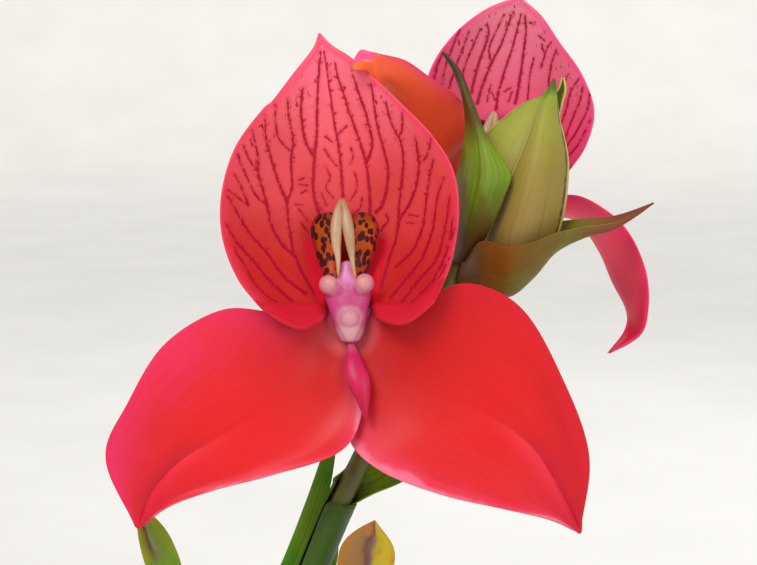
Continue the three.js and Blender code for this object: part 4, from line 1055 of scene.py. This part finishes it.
leaf_green = leaf_material(
    "rosette leaf", [(0, "A8B060"), (0.12, "6A8A26"), (0.5, "4A7A16"), (0.9, "5A8A20"), (1, "8A7A30")],
    "2F5A0C", 34, ("6A7A20", 60, 0.62, 0.4))
ROSETTE = [(12, 78, 17, 50, 5), (52, 92, 19, 62, -2), (92, 84, 18, 48, 0), (132, 74, 16, 66, 18),
           (172, 88, 19, 45, -8), (252, 80, 18, 40, -6), (332, 90, 17, 60, 4)]
for number, (azimuth, length, width, low, high) in enumerate(ROSETTE, 1):
    out = Vector((math.cos(math.radians(azimuth)), math.sin(math.radians(azimuth)), 0))
    spot = Vector((0.2, -0.1, 88.5)) + out * 3.7
    spine = [spot.copy()]
    for step in range(5):
        rise = math.radians(low + (high - low) * (step + 0.5) / 5)
        spot += out * (math.cos(rise) * length / 5) + Vector((0, 0, math.sin(rise) * length / 5))
        spine.append(spot.copy())
    facing = (-out.x * 0.5, -out.y * 0.5, 1)
    keep(sheet(blade(spine, width, facing, 1.6, wave=1.0, seed=number * 3.7), 30, 90, facing, 0.8, 0.4),
         f"rosette_leaf_no_{number}", [f"rosette_leaf_{number}"], leaf_green)

tall_green = leaf_material(
    "tall leaf", [(0, "8A9A4A"), (0.4, "5A8420"), (0.8, "6E8A10"), (1, "7A7A10")], "4A6A04", 20,
    bands=(0.72, [(0, "8A8A08"), (0.22, "6A5406"), (0.33, "4A2A08"), (0.42, "74784A"), (0.6, "6A7A2E"),
                  (0.72, "6E8A08"), (1, "86941A")], "6A4A44"))
tall_withered = leaf_material(
    "withered leaf", [(0, "8A8A40"), (0.4, "A89038"), (0.7, "B88A2A"), (1, "A89010")], "8A5A2A", 20,
    roughness=0.6, bands=(0.62, [(0, "9C6404"), (0.12, "94642C"), (0.4, "84603C"), (0.5, "5C342E"),
                                 (0.57, "68464E"), (0.66, "A89422"), (0.85, "B4A014"), (1, "B08A08")],
                          "B06408"))
stem_leaf = leaf_material(
    "stem leaf", [(0, "7A9A4A"), (0.4, "549208"), (0.75, "4A9602"), (0.92, "7AA006"), (1, "8AA00C")],
    "3A7402", 14, ("86A206", 60, 0.55, 0.45), 0.45)
for spine, width, facing, base_width, fullness, fold, name, slot, node_name, material in (
        ([(-3.2, -2.5, 92), (-5, -7, 110), (-4, -12.5, 145), (-6, -15.5, 175), (-9, -16, 187.5),
          (-13.5, -14.6, 197.5)],
         7.6, (0.1, -1, 0.3), 2.4, 2.8, 0.25, "tall_green_leaf", "leaf", "tall_leaf_left", tall_green),
        ([(1.7, -3.9, 92), (8, -10, 110), (20, -16, 145), (33.8, -17.5, 179), (37.5, -15, 194)],
         12.8, (-0.2, -1, 0.3), 2.2, 4.2, 0.25, "tall_withered_leaf", "withered_leaf", "tall_leaf_withered",
         tall_withered),
        ([(4.1, 1, 130), (10, 2, 158), (19.8, -1.2, 181), (24.4, -0.6, 194), (27.5, 0.2, 206),
          (29.3, 1, 216)],
         4.8, (0.1, -1, 0.1), 3, 0.9, 0.1, "left_stem_leaf", "leaf", "stem_leaf_left", stem_leaf),
        ([(13.3, -0.5, 146), (20, 2.6, 165), (26, 0.6, 178), (29.3, 0, 187)],
         5, (-0.1, -1, 0.1), 3, 1.4, 0.1, "right_stem_leaf", "leaf", "stem_leaf_right", stem_leaf)):
    keep(sheet(blade(spine, width, facing, base_width, fullness, fold, 0.4, width), 28, 100, facing, 0.8,
               0.4),
         name, [node_name], material)

SHEATH_RADIUS = 3.2
# Rows of the tube: place along the stem at its two edges, angles of the edges round the stem
SHEATH_ROWS = [(0.31, 0.31, -165, 165), (0.35, 0.35, -165, 165), (0.39, 0.39, -165, 165),
               (0.425, 0.425, -165, 165), (0.465, 0.465, -168, 168), (0.483, 0.488, -160, 176),
               (0.487, 0.502, -125, 182), (0.492, 0.516, -85, 184), (0.5, 0.53, -50, 180)]
SHEATH_BLADE = [
    [(37.5, -6.2, 197.6), (37.3, -2.8, 199.3), (34.5, 0.6, 204.5)],
    [(43.5, -4, 199.6), (42, -1, 202), (39.5, 1.5, 207.5)],
    [(50, -2, 203.5), (48.5, 0, 206), (46.5, 2, 210.5)], [(56, 0, 208.5), (55.5, 0.8, 210), (55, 1.6, 211.8)],
    [(59, 1.1, 212.1), (59, 1.3, 212.5), (59, 1.5, 212.9)]]
stem_line = [Vector(p) for p in STEM]


def sheath(u, v):
    """Tube round the stem that opens into a short blade."""
    rows = []
    for first, second, low, high in SHEATH_ROWS:
        s = first + (second - first) * u
        tangent = (along(stem_line, s + 0.005) - along(stem_line, s - 0.005)).normalized()
        outward = Vector((1, 0.35, 0))
        outward = (outward - tangent * outward.dot(tangent)).normalized()
        side = tangent.cross(outward).normalized()
        angle = math.radians(low + (high - low) * u)
        round_stem = outward * math.cos(angle) + side * math.sin(angle)
        rows.append(along(stem_line, s) + round_stem * SHEATH_RADIUS)
    for row in SHEATH_BLADE:
        a, m, b = (Vector(p) for p in row)
        t = 2 * u - 1
        rows.append(m + (b - a) * (0.5 * t) + ((a + b) * 0.5 - m) * (t * t))
    return along(rows, v)


def powdery(u, v):
    return smooth(u, 0.2, 0.45) * smooth(u, 0.8, 0.6) * smooth(v, 0.72, 0.62)


sheath_green = leaf_material(
    "sheath", [(0, "3A5806"), (0.45, "325004"), (0.6, "3E6006"), (0.68, "82B00A"), (0.76, "74B010"),
               (1, "74B014")],
    "345806", 18, None, 0.5, ("7C8880", 0.45), bloom_mark="bloom")
keep(sheet(sheath, 64, 120, (1, 0.3, 0), 0.5, 0.6, marks={"bloom": powdery}),
     "sheathing_leaf", ["sheath_leaf"], sheath_green)


# Pot, growing mix and tuber
def turned(profile, sides):
    """Ring extruded and resized step by step up a profile of (radius, height)."""
    bpy.ops.object.select_all(action="DESELECT")
    radius, height = profile[0]
    bpy.ops.mesh.primitive_circle_add(vertices=sides, radius=radius * MM, location=(0, 0, height * MM))
    bpy.ops.object.transform_apply(location=True)
    piece = bpy.context.object
    bpy.ops.object.mode_set(mode="EDIT")
    bpy.ops.mesh.select_all(action="SELECT")
    for next_radius, next_height in profile[1:]:
        bpy.ops.mesh.extrude_region_move(
            TRANSFORM_OT_translate={"value": (0, 0, (next_height - height) * MM)})
        scale = next_radius / radius
        bpy.ops.transform.resize(value=(scale, scale, 1), center_override=(0, 0, next_height * MM))
        radius, height = next_radius, next_height
    bpy.ops.object.mode_set(mode="OBJECT")
    weld(piece, 0.02)
    return piece


POT_PROFILE = [
    (0.004, 0.3), (10, 0.3), (38, 0.3), (40, 0), (42.2, 0), (43, 0.8), (45.6, 15), (50.3, 40), (55.2, 67),
    (56.9, 74.4), (57.4, 75.2), (59.6, 75.2), (60.4, 75.9), (60.6, 77), (60.9, 92), (60.6, 93.6),
    (59.4, 94.8),
    (57.8, 94.8), (56.8, 94.2), (56.2, 92.8), (55, 87), (46, 40), (38.4, 7), (37, 6), (20, 6), (0.004, 6)]
DRAINS, DRAIN_RADIUS, DRAIN_CIRCLE = 5, 1.8, 24
pot = turned(POT_PROFILE, 128)
drills = []
for k in range(DRAINS):
    turn = 2 * math.pi * k / DRAINS
    bpy.ops.object.select_all(action="DESELECT")
    bpy.ops.mesh.primitive_cylinder_add(
        vertices=32, radius=DRAIN_RADIUS * MM, depth=20 * MM,
        location=(DRAIN_CIRCLE * MM * math.cos(turn), DRAIN_CIRCLE * MM * math.sin(turn), 0))
    bpy.ops.object.transform_apply(location=True)
    drills.append(bpy.context.object)
drill = joined(drills)
change(pot, "BOOLEAN", operation="DIFFERENCE", object=drill, solver="EXACT")
bpy.data.objects.remove(drill)

clay, place = start("terracotta")
soft = grain(place, 25, 5)
rings = grain(place, 500, 3, (0.03, 0.03, 1))
base = tones(soft, (0.25, "A85A38"), (0.5, "B96A44"), (0.75, "C47A52"))
base = blend(ramped(grain(place, 1800, 2), 0.6, 0.7, 0.0, 0.5), base, "8A4428")
rise = node("SeparateXYZ", {0: place}).outputs[2]
salt = times(ramped(grain(place, 45, 8, (1, 1, 0.6), 0.62), 0.46, 0.8),
             ramped(rise, 0.09, 0.01, 0.1, 0.5))
base = blend(salt, base, "CDB9A6")
damp = times(ramped(grain(place, 30, 3), 0.4, 0.6), ramped(rise, 0.04, 0.0))
base = blend(times(damp, 0.5), base, "7A4A34")
height = plus(rings, times(grain(place, 2500, 3), 0.7))
settle(base, ramped(salt, 0.0, 1.0, 0.78, 0.95), height, 0.5, 0.25)
keep(pot, "terracotta_pot", ["clay_pot"], clay)

MIX_RADIUS, MIX_HEIGHT, MIX_CROWN, STEM_HOLE = 54.2, 84, 1.9, 4
MIX_RINGS = [(MIX_RADIUS, MIX_HEIGHT)] + [
    (MIX_RADIUS - 0.9 * k, MIX_HEIGHT + MIX_CROWN * smooth(k / 55)) for k in range(1, 57)]
SOCKET = [(3.4, 84), (3.4, 62), (8.4, 57), (8.4, 44), (5, 39.8), (0.004, 39.4)]
mix = turned([(0.004, 6.4), (20, 6.4), (37.2, 6.4)] + MIX_RINGS + SOCKET, 150)
for vertex in mix.data.vertices:
    x, y, z = vertex.co / MM
    out = math.hypot(x, y)
    if z > MIX_HEIGHT - 0.1 and out > STEM_HOLE:
        lumps = noise.fractal(Vector((x / 9, y / 9, 2)), 0.8, 2.1, 4)
        lumps += 0.5 * noise.noise(Vector((x / 1.6, y / 1.6, 7)))
        fade = smooth(out, STEM_HOLE, 7) * (1 - 0.6 * smooth(out, 50, MIX_RADIUS))
        vertex.co.z += 1.4 * lumps * fade * MM
soil, place = start("growing mix")
soft = grain(place, 250, 6)
base = tones(soft, (0.3, "1E140D"), (0.5, "3A281A"), (0.7, "5A4230"))
fibre = ramped(grain(place, 900, 3, (1, 0.2, 1)), 0.6, 0.66)
base = blend(times(fibre, 0.6), base, "7A5C3C")
height = plus(soft, times(grain(place, 1200, 4), 0.5))
settle(base, 0.92, height, 0.9, 0.6)
keep(mix, "growing_mix_surface", ["growing_mix"], soil)

random.seed(11)
bark, place = start("bark chip")
soft = grain(place, 500, 4, (1, 0.3, 1))
base = tones(soft, (0.3, "3A2214"), (0.55, "6A4428"), (0.8, "94694A"))
settle(base, 0.85, soft, 0.8, 0.3)
perlite, place = start("perlite grain")
soft = grain(place, 900, 4)
base = tones(soft, (0.3, "BDB8AE"), (0.6, "E8E6E0"))
settle(base, 0.9, soft, 0.8, 0.25)
SCATTER_RADIUS = 52.5


def scatter(name, count, shape, size, material):
    """Copies of one roughened grain over the growing mix, clear of the stem's foot."""
    bpy.ops.object.select_all(action="DESELECT")
    if shape == "chip":
        bpy.ops.mesh.primitive_cube_add(size=2 * MM)
        bpy.ops.object.mode_set(mode="EDIT")
        bpy.ops.mesh.subdivide(number_cuts=1)
        bpy.ops.object.mode_set(mode="OBJECT")
        bpy.context.object.scale = (1, 0.6, 0.28)
    else:
        bpy.ops.mesh.primitive_ico_sphere_add(subdivisions=1, radius=MM)
    bpy.ops.object.transform_apply(scale=True)
    grain_piece = bpy.context.object
    for vertex in grain_piece.data.vertices:
        vertex.co *= 1 + 0.25 * noise.noise(vertex.co / MM * 1.7)
    copies = []
    for _ in range(count):
        turn = random.uniform(0, 2 * math.pi)
        out = SCATTER_RADIUS * math.sqrt(random.uniform(0.02, 1))
        copy = grain_piece.copy()
        copy.data = grain_piece.data.copy()
        bpy.context.collection.objects.link(copy)
        rise = MIX_HEIGHT + MIX_CROWN * smooth((MIX_RADIUS - out) / 50) + random.uniform(0.3, 1.1)
        copy.location = Vector((out * math.cos(turn), out * math.sin(turn), rise)) * MM
        copy.rotation_euler = [random.uniform(-0.5, 0.5), random.uniform(-0.5, 0.5),
                               random.uniform(0, 6.3)]
        copy.scale = [random.uniform(*size)] * 3
        copies.append(copy)
    bpy.data.objects.remove(grain_piece)
    whole = joined(copies)
    bpy.ops.object.transform_apply(location=True, rotation=True, scale=True)
    keep(whole, name, [], material)


scatter("bark_chips", 150, "chip", (1.2, 3.0), bark)
scatter("perlite_grains", 110, "grain", (0.6, 1.7), perlite)

tuber, place = start("tuber skin")
soft = grain(place, 200, 4)
base = tones(soft, (0.3, "8A7448"), (0.7, "C8B488"))
settle(base, 0.8, grain(place, 900), 0.5, 0.3)
frame["nodes"]["tuber"].data.materials.clear()
frame["nodes"]["tuber"].data.materials.append(tuber)

# Floor, lights and camera
bpy.ops.object.select_all(action="DESELECT")
# Floor that is level round the pot and curves up far away
COVE = [(0.002, 0), (600, 0), (2600, 0), (2850, 12), (3100, 60), (3300, 160), (3450, 310), (3540, 500),
        (3570, 700)]
floor = turned(COVE, 96)
bpy.ops.object.mode_set(mode="EDIT")
bpy.ops.mesh.select_all(action="SELECT")
bpy.ops.mesh.flip_normals()
bpy.ops.object.mode_set(mode="OBJECT")
bpy.ops.object.shade_smooth()
floor.name = "studio_floor"
paper, place = start("pale paper")
base = tones(grain(place, 8, 2), (0.3, "E4E2DE"), (0.7, "E9E7E3"))
settle(base, 0.9)
floor.data.materials.clear()
floor.data.materials.append(paper)
floor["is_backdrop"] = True

sky = bpy.data.worlds.new("studio")
bpy.context.scene.world = sky
sky.use_nodes = True
sky.node_tree.nodes["Background"].inputs[0].default_value = (1, 0.99, 0.97, 1)
sky.node_tree.nodes["Background"].inputs[1].default_value = 0.58


def lamp(name, kind, place, aim, size, power):
    bpy.ops.object.light_add(type=kind, location=place)
    light = bpy.context.object
    light.name = name
    if kind == "SUN":
        light.data.angle = size
    else:
        light.data.size = size
    light.data.energy = power
    light.rotation_euler = (Vector(aim) - Vector(place)).to_track_quat("-Z", "Y").to_euler()


lamp("soft_daylight", "SUN", (-0.4, -0.95, 1.1), (0.03, 0, 0.2), 0.5, 1.7)
lamp("fill_light", "AREA", (0.8, -1.05, 0.75), (0.03, 0, 0.22), 0.7, 4.5)
lamp("back_light", "AREA", (0.35, 0.9, 0.9), (0.03, 0, 0.24), 0.6, 3)

bpy.ops.object.camera_add(location=(0.038288, -0.369374, 0.295388), rotation=(math.radians(82), 0, 0))
camera = bpy.context.object
camera.data.lens = 80.7265
camera.data.sensor_width = 36
camera.data.clip_start = 0.01
bpy.context.scene.camera = camera
bpy.context.scene.view_settings.view_transform = "Standard"

low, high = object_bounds()
